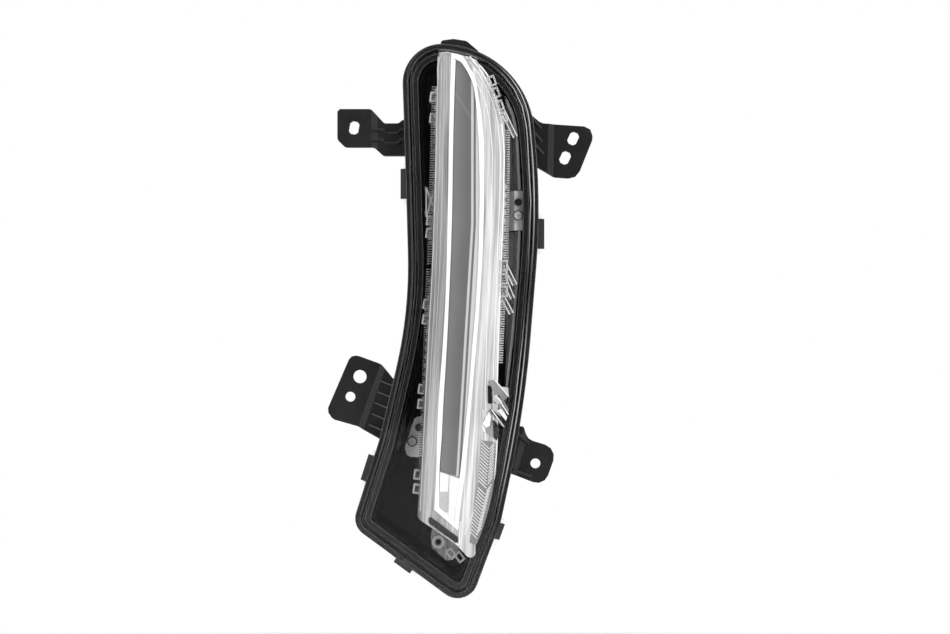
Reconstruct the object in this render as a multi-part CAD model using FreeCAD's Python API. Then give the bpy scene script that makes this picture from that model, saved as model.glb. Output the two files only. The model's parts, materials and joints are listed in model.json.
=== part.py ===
import FreeCAD, Part
import math
import os
from FreeCAD import Vector

# Daytime running light, in millimetres, upright as on the car.
# X runs along the bumper to the right, Y points back into the car and Z points up.
# The origin is the centre of the large locating hole in the lower left ear, on the
# ear's front face. "Front" and "back" values are Y. "Level" values are Y at the
# middle of the bow, where the bowed faces of the lens and optic reach furthest forward.

# Outlines seen from the front, clockwise: corner x, corner z, corner radius
RIM_CORNERS = [
    (26.0, 201.8, 23.0),
    (100.6, 192.5, 55.0),
    (109.0, 103.0, 440.0),
    (99.1, -17.7, 650.0),
    (85.0, -85.0, 27.0),
    (65.0, -138.3, 12.0),
    (-3.3, -88.1, 11.0),
    (13.0, -37.0, 73.0),
    (31.0, 39.5, 270.0),
    (28.8, 117.6, 320.0),
]
MODULE_CORNERS = [
    (48.6, 204.6, 6.0),
    (67.1, 194.0, 12.0),
    (87.6, 158.0, 60.0),
    (87.4, 128.0, 60.0),
    (83.0, 1.4, 300.0),
    (82.0, -57.0, 33.0),
    (70.0, -93.0, 12.0),
    (70.0, -110.5, 3.0),
    (58.5, -98.0, 25.0),
    (35.7, -82.3, 5.0),
    (39.0, -38.0, 150.0),
    (44.8, 69.4, 150.0),
    (47.6, 176.0, 400.0),
]
CORE_CORNERS = [
    (50.5, 178.0, 6.0),
    (66.0, 176.5, 10.0),
    (82.0, 150.0, 30.0),
    (82.6, 120.0, 60.0),
    (78.5, 1.4, 300.0),
    (74.0, -50.0, 40.0),
    (64.0, -86.0, 8.0),
    (56.5, -90.0, 6.0),
    (41.5, -79.0, 5.0),
    (43.5, -38.0, 150.0),
    (49.0, 69.4, 150.0),
    (50.8, 150.0, 300.0),
]
LOOP_CORNERS = [
    (54.0, 191.6, 3.0),
    (68.5, 181.0, 12.0),
    (74.8, 150.0, 60.0),
    (75.0, 80.0, 200.0),
    (65.0, -50.0, 80.0),
    (59.8, -90.5, 3.0),
    (45.4, -77.8, 3.0),
    (45.4, -42.0, 100.0),
    (53.4, 90.0, 300.0),
]
SMALLEST_CORNER = 3.5
# Hidden edges and small round parts have short straight sides, this far off the arc at most
FACET_SAG = 0.5
PLAIN_SIDES = 6
VISIBLE_SIDES = 10

# The bow of the outer lens, the optic and what is set in its face
BOW_RADIUS = 900.0
BOW_MIDDLE_Z = 36.0

# Housing: rim, glue groove, tub and shelf
RIM_FRONT = -20.0
RIM_DEPTH = 13.0
RIM_LIP_WIDTH = 2.8
GROOVE_WIDTH = 3.0
GROOVE_DEPTH = 7.0
INNER_LIP_WIDTH = 2.9
WALL = 2.5
SHELF_WIDTH = 5.5
BACK = 36.0
OPENING_INSET = RIM_LIP_WIDTH + GROOVE_WIDTH + INNER_LIP_WIDTH

# Ears: the outlines run on into the tub's wall, which trims them
EAR_FRONT = 0.0
EAR_THICKNESS = 3.0
LOWER_LEFT_EAR = [
    (-5.5, 13.3, 4.0),
    (-0.5, 12.4, 5.0),
    (13.0, 7.5, 4.0),
    (21.3, -2.6, 3.0),
    (34.0, -12.0, 0.5),
    (28.0, -40.0, 0.5),
    (12.2, -37.7, 3.0),
    (-1.0, -30.2, 6.0),
    (-16.5, -25.8, 3.0),
    (-20.0, -20.5, 3.0),
]
LOWER_RIGHT_EAR = [
    (84.0, -29.0, 0.5),
    (99.2, -30.2, 1.0),
    (101.6, -38.0, 6.0),
    (119.8, -43.6, 7.5),
    (111.6, -66.6, 7.0),
    (78.0, -53.5, 0.5),
]
UPPER_RIGHT_EAR = [
    (92.0, 161.0, 0.5),
    (103.2, 158.8, 1.0),
    (109.6, 153.3, 4.0),
    (141.2, 151.2, 5.5),
    (140.8, 143.2, 3.0),
    (131.3, 119.6, 7.0),
    (117.5, 120.6, 4.0),
    (107.5, 126.4, 2.0),
    (92.0, 131.0, 0.5),
]
UPPER_LEFT_EAR = [
    (-13.7, 162.1, 1.5),
    (6.7, 162.1, 2.0),
    (14.8, 153.2, 1.5),
    (23.4, 153.2, 1.5),
    (25.9, 155.3, 1.0),
    (42.0, 155.3, 0.5),
    (42.0, 133.4, 0.5),
    (14.5, 133.4, 2.0),
    (8.6, 138.7, 2.0),
    (-8.8, 138.7, 2.0),
    (-13.7, 143.5, 2.0),
]
LOCATING_HOLE = (0.0, 0.0)
LOCATING_HOLE_RADIUS = 4.0
LOWER_LEFT_HOLE = (-5.8, -12.2)
LOWER_RIGHT_HOLE = (106.3, -52.6)
SCREW_HOLE_RADIUS = 3.0
SLOT_WIDTH = 5.7
SLOT_HEIGHT = 7.8
SLOT_CORNER = 1.5
UPPER_LEFT_SLOT = (-3.5, 150.7)
UPPER_LEFT_SLOT_TILT_DEG = 10.0
UPPER_RIGHT_SLOTS = [(129.2, 144.2), (124.3, 132.5)]
UPPER_RIGHT_SLOT_TILT_DEG = 25.0
RAMP_RUN = 3.0
RAMP_RISE = 2.5
EAR_RIB_THICKNESS = 1.4
EAR_RIB_RISE = 5.5

# Catches on the rim for the outer lens's snap tabs: x, z, outward direction, length
CATCHES = [
    (29.0, 116.0, 180.0, 18.0),
    (107.3, 86.0, 0.0, 18.0),
    (7.2, -55.0, 162.3, 16.0),
    (82.2, -91.7, -20.0, 10.0),
    (28.0, -111.1, -126.3, 12.0),
]
CATCH_REACH = 4.0
CATCH_DEPTH = 5.5
CATCH_SETBACK = 5.0
TAB_SIDE = 3.0
TAB_THICKNESS = 1.6
TAB_GAP = 0.6
TOP_CATCH_X = 60.7
TOP_CATCH_WIDTH = 23.0
TOP_CATCH_RISE = 4.6
TOP_CATCH_SEAT_Z = 198.0
TOP_CATCH_LEFT_DROP = 1.0
TOP_CATCH_RIGHT_DROP = 1.2
TOP_CATCH_END_Z = 195.0
TOP_CATCH_FOOT_Z = (188.0, 186.0)
TOP_CATCH_END_ROUNDING = 1.2
TOP_CATCH_CROWN_ROUNDING = 2.0
TOP_CATCH_FOOT_ROUNDING = 0.5

# Clear outer lens and its glue
LENS_FRONT = -57.0
LENS_WALL = 2.0
LENS_SHOULDER = 0.4
GLUE_GAP = 0.4
GLUE_BED = 2.0
GLUE_SIDE_GAP = 0.6

# Dark liner round the light module
LINER_WALL = 1.6
LINER_GAP = 0.6
LINER_FLOOR_FRONT = 4.0
LINER_SETBACK = 3.0
LINER_LEDGE = 2.5
LINER_LEAN_DEG = 6.0
LINER_RIB_Z = (64.5, 63.3, 41.8, 40.6)
LINER_RIB_THICKNESS = 0.6
LINER_RIB_X = 37.8
LINER_RIB_LENGTH = 9.0
LINER_RIB_FRONT = -4.0
LINER_BOSS_HOLE_FRONT = -5.0

# Aluminium carrier plate with two ears
CARRIER_THICKNESS = 2.0
CARRIER_MARGIN = 2.0
UPPER_EAR_Z = (88.0, 111.6)
UPPER_EAR_SEAT = -13.0
UPPER_EAR_FOOT_X = 88.5
UPPER_EAR_FOLD_X = 94.5
UPPER_EAR_END_X = 98.3
UPPER_EAR_BOSS_GAP = 0.5
RIM_RIGHT_AT_UPPER_EAR = 107.2
LOWER_CARRIER_EAR = [
    (46.0, -23.0, 0.5),
    (33.2, -24.6, 2.0),
    (27.0, -43.2, 3.0),
    (28.6, -48.6, 3.0),
    (46.0, -49.4, 0.5),
]
UPPER_CARRIER_SCREW = (95.4, 96.8)
UPPER_CARRIER_PIN = (95.6, 104.8)
LOWER_CARRIER_SCREW = (31.7, -39.3)
LOWER_CARRIER_PIN = (35.6, -31.0)
CARRIER_SCREW_RADIUS = 1.75
CARRIER_SCREW_HEAD_RADIUS = 2.8
CARRIER_SCREW_HEAD_HEIGHT = 2.4
CARRIER_SCREW_LENGTH = 14.0
PIN_RADIUS = 2.2
PIN_HEIGHT = 3.5
FIT_GAP = 0.2
BOSS_RADIUS = 3.6

# LED board and what it carries
PAD_THICKNESS = 0.5
BOARD_THICKNESS = 1.6
BOARD_GAP = 0.6
MODULE_AXIS = [(65.0, 190.0), (65.0, 110.0), (62.4, 50.0), (58.4, -20.0), (54.0, -80.0)]
LED_COUNT = 12
LED_TOP_Z = 168.0
LED_BOTTOM_Z = -72.0
LED_SIZE = 3.5
LED_HEIGHT = 0.9
SMALL_SCREW_RADIUS = 1.3
SMALL_SCREW_HEAD_RADIUS = 2.4
SMALL_SCREW_HEAD_HEIGHT = 1.6
SMALL_SCREW_LENGTH = 7.0
CROSS_WIDTH = 0.8
CROSS_DEPTH = 1.0

# Clear optic with its white light loop, grey strip, white end block and dark foot trim
OPTIC_FRONT = -44.0
OPTIC_CEILING = -27.0
OPTIC_GAP = 0.5
TOOTH_PITCH = 5.0
TOOTH_ROOT = 0.35
TOOTH_DEPTH = 1.6
TOOTH_LENGTH = 10.0
TOOTH_RUNS = [
    ((47.5, 172.0), (45.0, 76.0), -34.0),
    ((44.2, 60.0), (39.6, -27.0), -41.0),
    ((83.3, 10.0), (87.0, 118.0), -39.5),
]
LUG_SIZE = (7.0, 5.4)
LUG_REACH = 4.4
LUG_ROOT = 2.0
LUG_FRONT = -24.0
LEFT_LUGS_Z = (166.0, 153.5, 93.0, 85.5, 43.6, 34.6, -6.5, -15.3, -57.0, -65.4)
PRONGS = [
    ((80.5, 170.0), (93.6, 143.0)),
    ((84.5, 69.0), (93.4, 55.0)),
    ((84.5, 60.0), (91.0, 47.0)),
    ((83.0, 50.0), (91.4, 38.0)),
    ((80.5, -6.0), (87.0, -22.0)),
]
PRONG_WIDTH = 2.4
PRONG_DEPTH = 4.0
PRONG_FRONT = -24.0
EYE_CENTRE = (47.7, -99.4)
EYE_RADIUS = 3.2
EYE_HOLE_RADIUS = 1.6
EYE_FRONT = -6.0
FOOT_TAB = [
    (45.0, -86.0, 0.5),
    (60.0, -94.0, 0.5),
    (60.5, -103.5, 1.5),
    (53.5, -112.0, 2.0),
    (43.5, -103.0, 2.0),
    (43.0, -96.0, 1.5),
]
FOOT_TAB_THICKNESS = 3.0
LOOP_WIDTH = 2.7
LOOP_RISE = 2.5
LOOP_GAP = 0.4
STRIP_RISE = 1.2
STRIP_END_Z = -54.5
STRIP_END_SLOPE = -0.35
BLOCK_RISE = 2.0
TRIM_CORNERS = [
    (42.4, -80.6, 0.8),
    (59.6, -93.4, 0.8),
    (59.6, -98.0, 0.8),
    (42.4, -85.0, 0.8),
]
TRIM_RISE = 1.0
FLUTE_PITCH = 5.5
FLUTE_DEPTH = 0.8
FLUTE_COUNT = 8
FLUTE_START = (75.5, -28.0)

# Reflector tray between the board and the optic
TRAY_WALL = 1.2
TRAY_GAP = 1.0
TRAY_FRONT = -20.0

# Crossed bracket that the optic reaches over the rim's inner lip with, at its left
BRACKET_CENTRE = (43.2, 105.5)
BRACKET_ARM = 8.5
BRACKET_WIDTH = 2.0
BRACKET_TURN_DEG = 20.0
BRACKET_THICKNESS = 2.0

# Rear cover, in its own frame turned about its middle
COVER_MIDDLE = (61.0, 5.0)
COVER_TILT_DEG = 7.5
COVER_SIZE = (48.0, 82.0)
COVER_THICKNESS = 2.5
COVER_CORNER = 5.0
COVER_OPENING = (32.0, 66.0)
COVER_SCREW_EDGE = 3.8
COVER_BOSS_RADIUS = 3.4
COVER_BOSS_DEPTH = 9.0
SEAL_WIDTH = 1.6
SEAL_THICKNESS = 1.2
SEAL_EDGE = 0.9
STANDOFF_HEIGHT = 6.0
STANDOFF_RADIUS = 2.6
STANDOFF_INSET = 3.4
DRIVER_SIZE = (28.0, 60.0)
INDUCTOR_PLACE = (-5.0, -2.0)
INDUCTOR_SIZE = (12.0, 12.0, 7.0)
CAPACITORS = [(7.0, 6.0), (7.0, -4.5)]
CAPACITOR_RADIUS = 4.0
CAPACITOR_HEIGHT = 9.0
CHIPS = [(-6.0, 10.0), (6.0, 15.5)]
CHIP_SIZE = (6.0, 5.0, 1.5)
HEADER_PLACE = (-3.0, 19.5)
HEADER_SIZE = (11.0, 3.0, 2.5)
HEADER_PINS = 4
HEADER_PITCH = 2.54
PIN_WIDTH = 0.64
PIN_TAIL = 1.2

# Connector socket moulded on the rear cover
SOCKET_PLACE = (0.0, -22.0)
SOCKET_SIZE = (22.0, 12.0)
SOCKET_CORNER = 3.0
SOCKET_WALL = 1.6
SOCKET_LENGTH = 18.0
TERMINALS = 4
TERMINAL_PITCH = 4.0
TERMINAL_SIZE = (1.5, 0.64)
TERMINAL_REACH = 8.0
LATCH_SIZE = (6.0, 3.0, 2.2)

# Vent at the upper back
VENT_PLACE = (68.0, 120.0)
VENT_BOSS_RADIUS = 5.0
VENT_BOSS_HEIGHT = 3.0
VENT_BORE_RADIUS = 2.6
VENT_MEMBRANE_THICKNESS = 0.3
VENT_CAP_GAP = 0.4
VENT_CAP_WALL = 1.2
VENT_CAP_SLOTS = 2


# Planes that follow from the sizes above
SHELF_FRONT = LINER_FLOOR_FRONT + LINER_WALL
CARRIER_FRONT = LINER_FLOOR_FRONT - CARRIER_THICKNESS
BOARD_BACK = CARRIER_FRONT - PAD_THICKNESS
BOARD_FRONT = BOARD_BACK - BOARD_THICKNESS
GROOVE_FLOOR = RIM_FRONT + GROOVE_DEPTH
LENS_FOOT = GROOVE_FLOOR - GLUE_BED
COVER_BACK = BACK + COVER_THICKNESS
DRIVER_BACK = BACK - STANDOFF_HEIGHT
DRIVER_FRONT = DRIVER_BACK - BOARD_THICKNESS
FRONT_REACH = LENS_FRONT - 10.0
REACH = 400.0


# Outlines and solids
def corner_arc(before, corner, after, inset):
    """Start, middle and end of the arc that rounds one corner of an inset outline."""
    unit_in = unit(before, corner)
    unit_out = unit(corner, after)
    turn = math.atan2(
        unit_in[0] * unit_out[1] - unit_in[1] * unit_out[0],
        unit_in[0] * unit_out[0] + unit_in[1] * unit_out[1],
    )
    outward = 1.0 if turn < 0.0 else -1.0
    radius = max(corner[2] - outward * inset, min(corner[2], SMALLEST_CORNER))
    half = abs(turn) / 2.0
    toward_inside = (unit_out[0] - unit_in[0], unit_out[1] - unit_in[1])
    length = math.hypot(*toward_inside)
    inside = (toward_inside[0] / length, toward_inside[1] / length)
    shift = outward * inset / math.cos(half)
    tip = (corner[0] + inside[0] * shift, corner[1] + inside[1] * shift)
    tangent = radius * math.tan(half)
    to_middle = radius / math.cos(half) - radius
    start = (tip[0] - unit_in[0] * tangent, tip[1] - unit_in[1] * tangent)
    middle = (tip[0] + inside[0] * to_middle, tip[1] + inside[1] * to_middle)
    end = (tip[0] + unit_out[0] * tangent, tip[1] + unit_out[1] * tangent)
    return start, middle, end


def unit(start, end):
    """Unit direction from one point of the front view to another."""
    length = math.hypot(end[0] - start[0], end[1] - start[1])
    return (end[0] - start[0]) / length, (end[1] - start[1]) / length


def outline(corners, inset, y, faceted=False):
    """Closed wire of lines and tangent arcs, moved inwards by the inset.

    A faceted outline has a few short straight sides in place of each arc.
    """
    count = len(corners)
    edges = []
    stops = []
    for i, corner in enumerate(corners):
        start, middle, end = corner_arc(corners[i - 1], corner, corners[(i + 1) % count], inset)
        arc = Part.Arc(*[Vector(x, y, z) for x, z in (start, middle, end)])
        turn = arc.LastParameter - arc.FirstParameter
        sides = 1 + int(turn * math.sqrt(corner[2] / (8.0 * FACET_SAG)))
        stops.append(arc.discretize(Number=sides + 1))
        edges.append(arc.toShape())
    if faceted:
        points = [point for arc_points in stops for point in arc_points]
        return Part.makePolygon(points + [points[0]])
    links = [Part.LineSegment(stops[i - 1][-1], stops[i][0]).toShape() for i in range(count)]
    return Part.Wire([edge for pair in zip(links, edges) for edge in pair])


def prism(corners, inset, front, back, faceted=False):
    """Straight block of an outline between two Y planes."""
    face = Part.Face(outline(corners, inset, front, faceted))
    return face.extrude(Vector(0, back - front, 0))


def leaning(corners, inset, lean_deg, front, back):
    """Faceted block whose walls lean; the inset is the one at the rim's front."""
    lean = math.tan(math.radians(lean_deg))
    wires = [outline(corners, inset + (y - RIM_FRONT) * lean, y, True) for y in (front, back)]
    return Part.makeLoft(wires, True, True)


def bow(level):
    """Everything behind the bowed surface that has this level."""
    radius = RIM_FRONT + BOW_RADIUS - level
    axis_point = Vector(-REACH, RIM_FRONT + BOW_RADIUS, BOW_MIDDLE_Z)
    return Part.makeCylinder(radius, 2 * REACH, axis_point, Vector(1, 0, 0))


def bow_drop(z):
    """How far back a bowed surface lies at this height, from its level."""
    return BOW_RADIUS - math.sqrt(BOW_RADIUS ** 2 - (z - BOW_MIDDLE_Z) ** 2)


def bowed_prism(corners, inset, front_level, back_level, faceted=False):
    """Block of an outline between two bowed surfaces."""
    block = prism(corners, inset, FRONT_REACH, BACK, faceted)
    return block.common(bow(front_level)).cut(bow(back_level))


def ring(corners, outer_inset, inner_inset, front, back, faceted=False):
    """Band that follows an outline, between two Y planes."""
    outer = prism(corners, outer_inset, front, back, faceted)
    return outer.cut(prism(corners, inner_inset, front - 1.0, back + 1.0, faceted))


def rod(place, radius, front, back):
    """Round bar along Y at a place in the front view."""
    start = Vector(place[0], front, place[1])
    return Part.makeCylinder(radius, back - front, start, Vector(0, 1, 0))


def plain_rod(place, radius, front, back, sides=PLAIN_SIDES):
    """Bar along Y with a few flat sides, for small or hidden round parts."""
    points = []
    for i in range(sides):
        angle = 2.0 * math.pi * (i + 0.5) / sides
        points.append(Vector(place[0] + radius * math.cos(angle), front, place[1] + radius * math.sin(angle)))
    return panel(points, Vector(0, back - front, 0))


def block(place, size, front, back):
    """Box along Y, centred on a place in the front view."""
    corner = Vector(place[0] - size[0] / 2.0, front, place[1] - size[1] / 2.0)
    return Part.makeBox(size[0], back - front, size[1], corner)


def rounded_rectangle(size, radius):
    """Corners of a rectangle centred on the origin of the front view."""
    x = size[0] / 2.0
    z = size[1] / 2.0
    return [(-x, z, radius), (x, z, radius), (x, -z, radius), (-x, -z, radius)]


def panel(points, sweep):
    """Flat polygon swept along a vector."""
    return Part.Face(Part.makePolygon(points + [points[0]])).extrude(sweep)


def standing_panel(start, end, heights, thickness):
    """Upright rib from start to end. Heights are pairs of how far along it is, and Y."""
    along = unit(start, end)
    side = Vector(-along[1], 0, along[0]) * thickness
    points = [
        Vector(start[0] + along[0] * s, y, start[1] + along[1] * s) - side * 0.5
        for s, y in heights
    ]
    return panel(points, side)


def fused(shapes):
    """One solid from shapes that meet."""
    return shapes[0].multiFuse(shapes[1:]).removeSplitter()


# Housing
def ramp(corners, bend_start, bend_end):
    """Raised root of an ear: it slopes up from the bend line towards the rim, on its left."""
    along = unit(bend_start, bend_end)
    toward_rim = (-along[1], along[0])
    reach = 60.0
    start = (bend_start[0] - along[0] * reach, bend_start[1] - along[1] * reach)
    heights = [(0.0, EAR_FRONT), (RAMP_RUN, EAR_FRONT - RAMP_RISE)]
    heights += [(reach, EAR_FRONT - RAMP_RISE), (reach, EAR_FRONT)]
    points = [
        Vector(start[0] + toward_rim[0] * s, y, start[1] + toward_rim[1] * s)
        for s, y in heights
    ]
    wedge = panel(points, Vector(along[0], 0, along[1]) * (2 * reach + 60.0))
    return wedge.common(prism(corners, 0, EAR_FRONT - 2 * RAMP_RISE, EAR_FRONT, True))


def ear(corners, bend_start, bend_end):
    """Flat mounting ear with its raised root."""
    plate = prism(corners, 0, EAR_FRONT, EAR_FRONT + EAR_THICKNESS, True)
    return plate.fuse(ramp(corners, bend_start, bend_end))


def ear_rib(start, end):
    """Rib that climbs from the ear at its start to the rim at its end."""
    length = math.hypot(end[0] - start[0], end[1] - start[1])
    heights = [(0.0, EAR_FRONT), (length, EAR_FRONT - EAR_RIB_RISE), (length, EAR_FRONT)]
    return standing_panel(start, end, heights, EAR_RIB_THICKNESS)


def slot(place, tilt_deg):
    """Rounded slot through an ear, its top leaning to the right by the tilt."""
    corners = rounded_rectangle((SLOT_WIDTH, SLOT_HEIGHT), SLOT_CORNER)
    cutter = prism(corners, 0, EAR_FRONT - EAR_THICKNESS, EAR_FRONT + 2 * EAR_THICKNESS, True)
    cutter.rotate(Vector(0, 0, 0), Vector(0, 1, 0), tilt_deg)
    cutter.translate(Vector(place[0], 0, place[1]))
    return cutter


def lower_left_ear():
    body = [ear(LOWER_LEFT_EAR, (12.4, 6.7), (-0.4, -29.2))]
    for i in range(5):
        end = (22.6 - 1.75 * i, -6.6 - 6.6 * i)
        body.append(ear_rib((end[0] - 9.0, end[1] + 3.6), end))
    return fused(body)


def lower_right_ear():
    body = [ear(LOWER_RIGHT_EAR, (95.2, -57.9), (100.3, -39.5))]
    edge = standing_panel(
        (94.0, -33.0), (102.6, -40.5), [(0, EAR_FRONT), (0, -6.5), (11.0, -2.0), (11.0, EAR_FRONT)],
        EAR_RIB_THICKNESS,
    )
    body.append(edge.common(prism(LOWER_RIGHT_EAR, 0, -10.0, EAR_FRONT, True)))
    body.append(ear_rib((104.0, -60.5), (92.5, -56.2)))
    return fused(body)


def upper_right_ear():
    body = [ear(UPPER_RIGHT_EAR, (116.6, 116.0), (117.6, 156.0))]
    body.append(ear_rib((115.9, 143.2), (102.6, 158.0)))
    body.append(ear_rib((115.9, 135.2), (103.4, 150.0)))
    body.append(ear_rib((117.0, 128.5), (104.4, 141.8)))
    return fused(body)


def upper_left_ear():
    """Plate and arm; two ribs run along the arm and dip at its neck."""
    body = [ear(UPPER_LEFT_EAR, (7.3, 166.0), (7.3, 130.0))]
    top = EAR_FRONT - RAMP_RISE - 1.5
    for z in (149.0, 142.9):
        route = [(6.5, z), (14.5, z), (16.5, z - 2.1), (23.0, z - 2.1), (25.0, z), (31.0, z)]
        for start, end in zip(route[:-1], route[1:]):
            length = math.hypot(end[0] - start[0], end[1] - start[1])
            reach = length + EAR_RIB_THICKNESS / 3.0
            heights = [(0.0, EAR_FRONT), (0.0, top), (reach, top), (reach, EAR_FRONT)]
            body.append(standing_panel(start, end, heights, EAR_RIB_THICKNESS))
    return fused(body)


def catch(x, z, direction_deg, length):
    """Ramped catch on the side of the rim."""
    angle = math.radians(direction_deg)
    outward = (math.cos(angle), math.sin(angle))
    along = (-outward[1], outward[0])
    front = RIM_FRONT + CATCH_SETBACK
    profile = [
        (-1.5, front),
        (0.0, front),
        (CATCH_REACH, front + CATCH_DEPTH * 0.6),
        (CATCH_REACH, front + CATCH_DEPTH),
        (-1.5, front + CATCH_DEPTH),
    ]
    start = (x - along[0] * length / 2.0, z - along[1] * length / 2.0)
    points = [Vector(start[0] + outward[0] * s, y, start[1] + outward[1] * s) for s, y in profile]
    return panel(points, Vector(along[0], 0, along[1]) * length)


def top_catch():
    """Block over the top of the rim, behind the module's tip."""
    x = TOP_CATCH_X
    crown = TOP_CATCH_SEAT_Z + TOP_CATCH_RISE
    left_foot, right_foot = TOP_CATCH_FOOT_Z
    corners = [
        (x - TOP_CATCH_WIDTH / 2.0, crown - TOP_CATCH_LEFT_DROP, TOP_CATCH_END_ROUNDING),
        (x - TOP_CATCH_WIDTH / 6.0, crown, TOP_CATCH_CROWN_ROUNDING),
        (x + TOP_CATCH_WIDTH / 6.0, crown - TOP_CATCH_RIGHT_DROP, TOP_CATCH_CROWN_ROUNDING),
        (x + TOP_CATCH_WIDTH / 2.0, TOP_CATCH_END_Z, TOP_CATCH_END_ROUNDING),
        (x + TOP_CATCH_WIDTH / 3.0, right_foot, TOP_CATCH_FOOT_ROUNDING),
        (x - TOP_CATCH_WIDTH / 2.0, left_foot, TOP_CATCH_FOOT_ROUNDING),
    ]
    front = RIM_FRONT + CATCH_SETBACK
    return prism(corners, 0, front, front + CATCH_DEPTH, True)


def housing_shell():
    """Rim, tub, shelf and ears as one moulding, before its bosses."""
    step_back = SHELF_FRONT + WALL
    rear_inset = OPENING_INSET + SHELF_WIDTH
    front_tub = prism(RIM_CORNERS, OPENING_INSET - WALL, RIM_FRONT + 1.0, step_back, True)
    rear_tub = prism(RIM_CORNERS, rear_inset - WALL, SHELF_FRONT, BACK, True)
    solids = [prism(RIM_CORNERS, 0, RIM_FRONT, RIM_FRONT + RIM_DEPTH), front_tub, rear_tub]
    solids += [lower_left_ear(), lower_right_ear(), upper_right_ear(), upper_left_ear()]
    solids += [catch(*place) for place in CATCHES]
    solids.append(top_catch())
    shell = fused(solids)
    front_hollow = prism(RIM_CORNERS, OPENING_INSET, FRONT_REACH, SHELF_FRONT)
    rear_hollow = prism(RIM_CORNERS, rear_inset, SHELF_FRONT - 1.0, BACK - WALL, True)
    return shell.cut(front_hollow.fuse(rear_hollow))


def housing():
    groove = ring(
        RIM_CORNERS, RIM_LIP_WIDTH, RIM_LIP_WIDTH + GROOVE_WIDTH, FRONT_REACH, GROOVE_FLOOR
    )
    body = housing_shell().cut(groove)
    added = [body, upper_ear_boss(0.0)]
    floor = BACK - WALL
    for place in (LOWER_CARRIER_SCREW, LOWER_CARRIER_PIN):
        added.append(plain_rod(place, BOSS_RADIUS, LINER_FLOOR_FRONT, floor + 0.5))
    lower_tip = CARRIER_FRONT - PIN_HEIGHT
    upper_tip = UPPER_EAR_SEAT - CARRIER_THICKNESS - PIN_HEIGHT
    added.append(plain_rod(LOWER_CARRIER_PIN, PIN_RADIUS, lower_tip, floor, VISIBLE_SIDES))
    upper_foot = UPPER_EAR_SEAT + PIN_HEIGHT
    added.append(plain_rod(UPPER_CARRIER_PIN, PIN_RADIUS, upper_tip, upper_foot, VISIBLE_SIDES))
    for place in cover_screw_places():
        added.append(plain_rod(place, COVER_BOSS_RADIUS, floor - COVER_BOSS_DEPTH, floor + 0.5))
    added.append(plain_rod(VENT_PLACE, VENT_BOSS_RADIUS, floor, BACK + VENT_BOSS_HEIGHT, VISIBLE_SIDES))
    body = fused(added)
    holes = [
        plain_rod(place, CARRIER_SCREW_RADIUS, seat - 1.0, seat + CARRIER_SCREW_LENGTH)
        for place, seat in carrier_screw_seats()
    ]
    holes.append(rod(LOCATING_HOLE, LOCATING_HOLE_RADIUS, -20.0, 20.0))
    holes.append(rod(LOWER_LEFT_HOLE, SCREW_HOLE_RADIUS, -20.0, 20.0))
    holes.append(rod(LOWER_RIGHT_HOLE, SCREW_HOLE_RADIUS, -20.0, 20.0))
    holes.append(slot(UPPER_LEFT_SLOT, UPPER_LEFT_SLOT_TILT_DEG))
    holes += [slot(place, UPPER_RIGHT_SLOT_TILT_DEG) for place in UPPER_RIGHT_SLOTS]
    opening = prism(rounded_rectangle(COVER_OPENING, COVER_CORNER), 0, BACK - 20.0, BACK + 1.0, True)
    holes.append(on_cover(opening))
    screw_end = BACK - SMALL_SCREW_LENGTH + COVER_THICKNESS
    holes += [plain_rod(place, SMALL_SCREW_RADIUS, screw_end, BACK + 1.0) for place in cover_screw_places()]
    holes.append(plain_rod(VENT_PLACE, VENT_BORE_RADIUS, floor - 5.0, BACK + 20.0))
    return body.cut(Part.makeCompound(holes))


def upper_ear_boss(gap):
    """Boss on the tub's right wall that the carrier's raised ear is screwed to."""
    wall = RIM_RIGHT_AT_UPPER_EAR - OPENING_INSET + WALL * 0.7
    seat_x = UPPER_EAR_FOLD_X + UPPER_EAR_BOSS_GAP
    root_x = UPPER_EAR_FOOT_X + UPPER_EAR_BOSS_GAP
    low, high = UPPER_EAR_Z
    profile = [
        (seat_x - gap, UPPER_EAR_SEAT - 10.0 * gap),
        (wall, UPPER_EAR_SEAT - 10.0 * gap),
        (wall, SHELF_FRONT + WALL * 0.5),
        (root_x - gap, SHELF_FRONT + WALL * 0.5),
    ]
    points = [Vector(x, y, low - gap) for x, y in profile]
    return panel(points, Vector(0, 0, high - low + 2 * gap))


# Outer lens and glue
def lens_block(depth):
    """Solid under the outer lens's outer surface, or under a surface deeper in it."""
    inset = RIM_LIP_WIDTH + GLUE_GAP + depth
    return prism(RIM_CORNERS, inset, FRONT_REACH, LENS_FOOT, depth > 0.0).common(bow(LENS_FRONT + depth))


def snap_tab(x, z, direction_deg, length):
    """Clear tab that bridges the rim's lip and drops over a catch."""
    width = length + 2 * TAB_SIDE
    lip = RIM_FRONT
    bridge = block((0.0, 0.0), (RIM_LIP_WIDTH + 2 * TAB_THICKNESS + TAB_GAP, width),
                   lip - TAB_THICKNESS - LENS_SHOULDER, lip - LENS_SHOULDER)
    bridge.translate(Vector((TAB_THICKNESS + TAB_GAP - RIM_LIP_WIDTH) / 2.0 - 0.6, 0, 0))
    end = lip + CATCH_SETBACK + CATCH_DEPTH + TAB_SIDE
    leg = block((TAB_GAP + TAB_THICKNESS / 2.0, 0.0), (TAB_THICKNESS, width),
                lip - TAB_THICKNESS - LENS_SHOULDER, end)
    window = block((0.0, 0.0), (20.0, length + 2 * TAB_GAP),
                   lip + CATCH_SETBACK - TAB_GAP, lip + CATCH_SETBACK + CATCH_DEPTH + TAB_GAP)
    tab = bridge.fuse(leg).cut(window)
    tab.rotate(Vector(0, 0, 0), Vector(0, 1, 0), -direction_deg)
    tab.translate(Vector(x, 0, z))
    return tab


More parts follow.
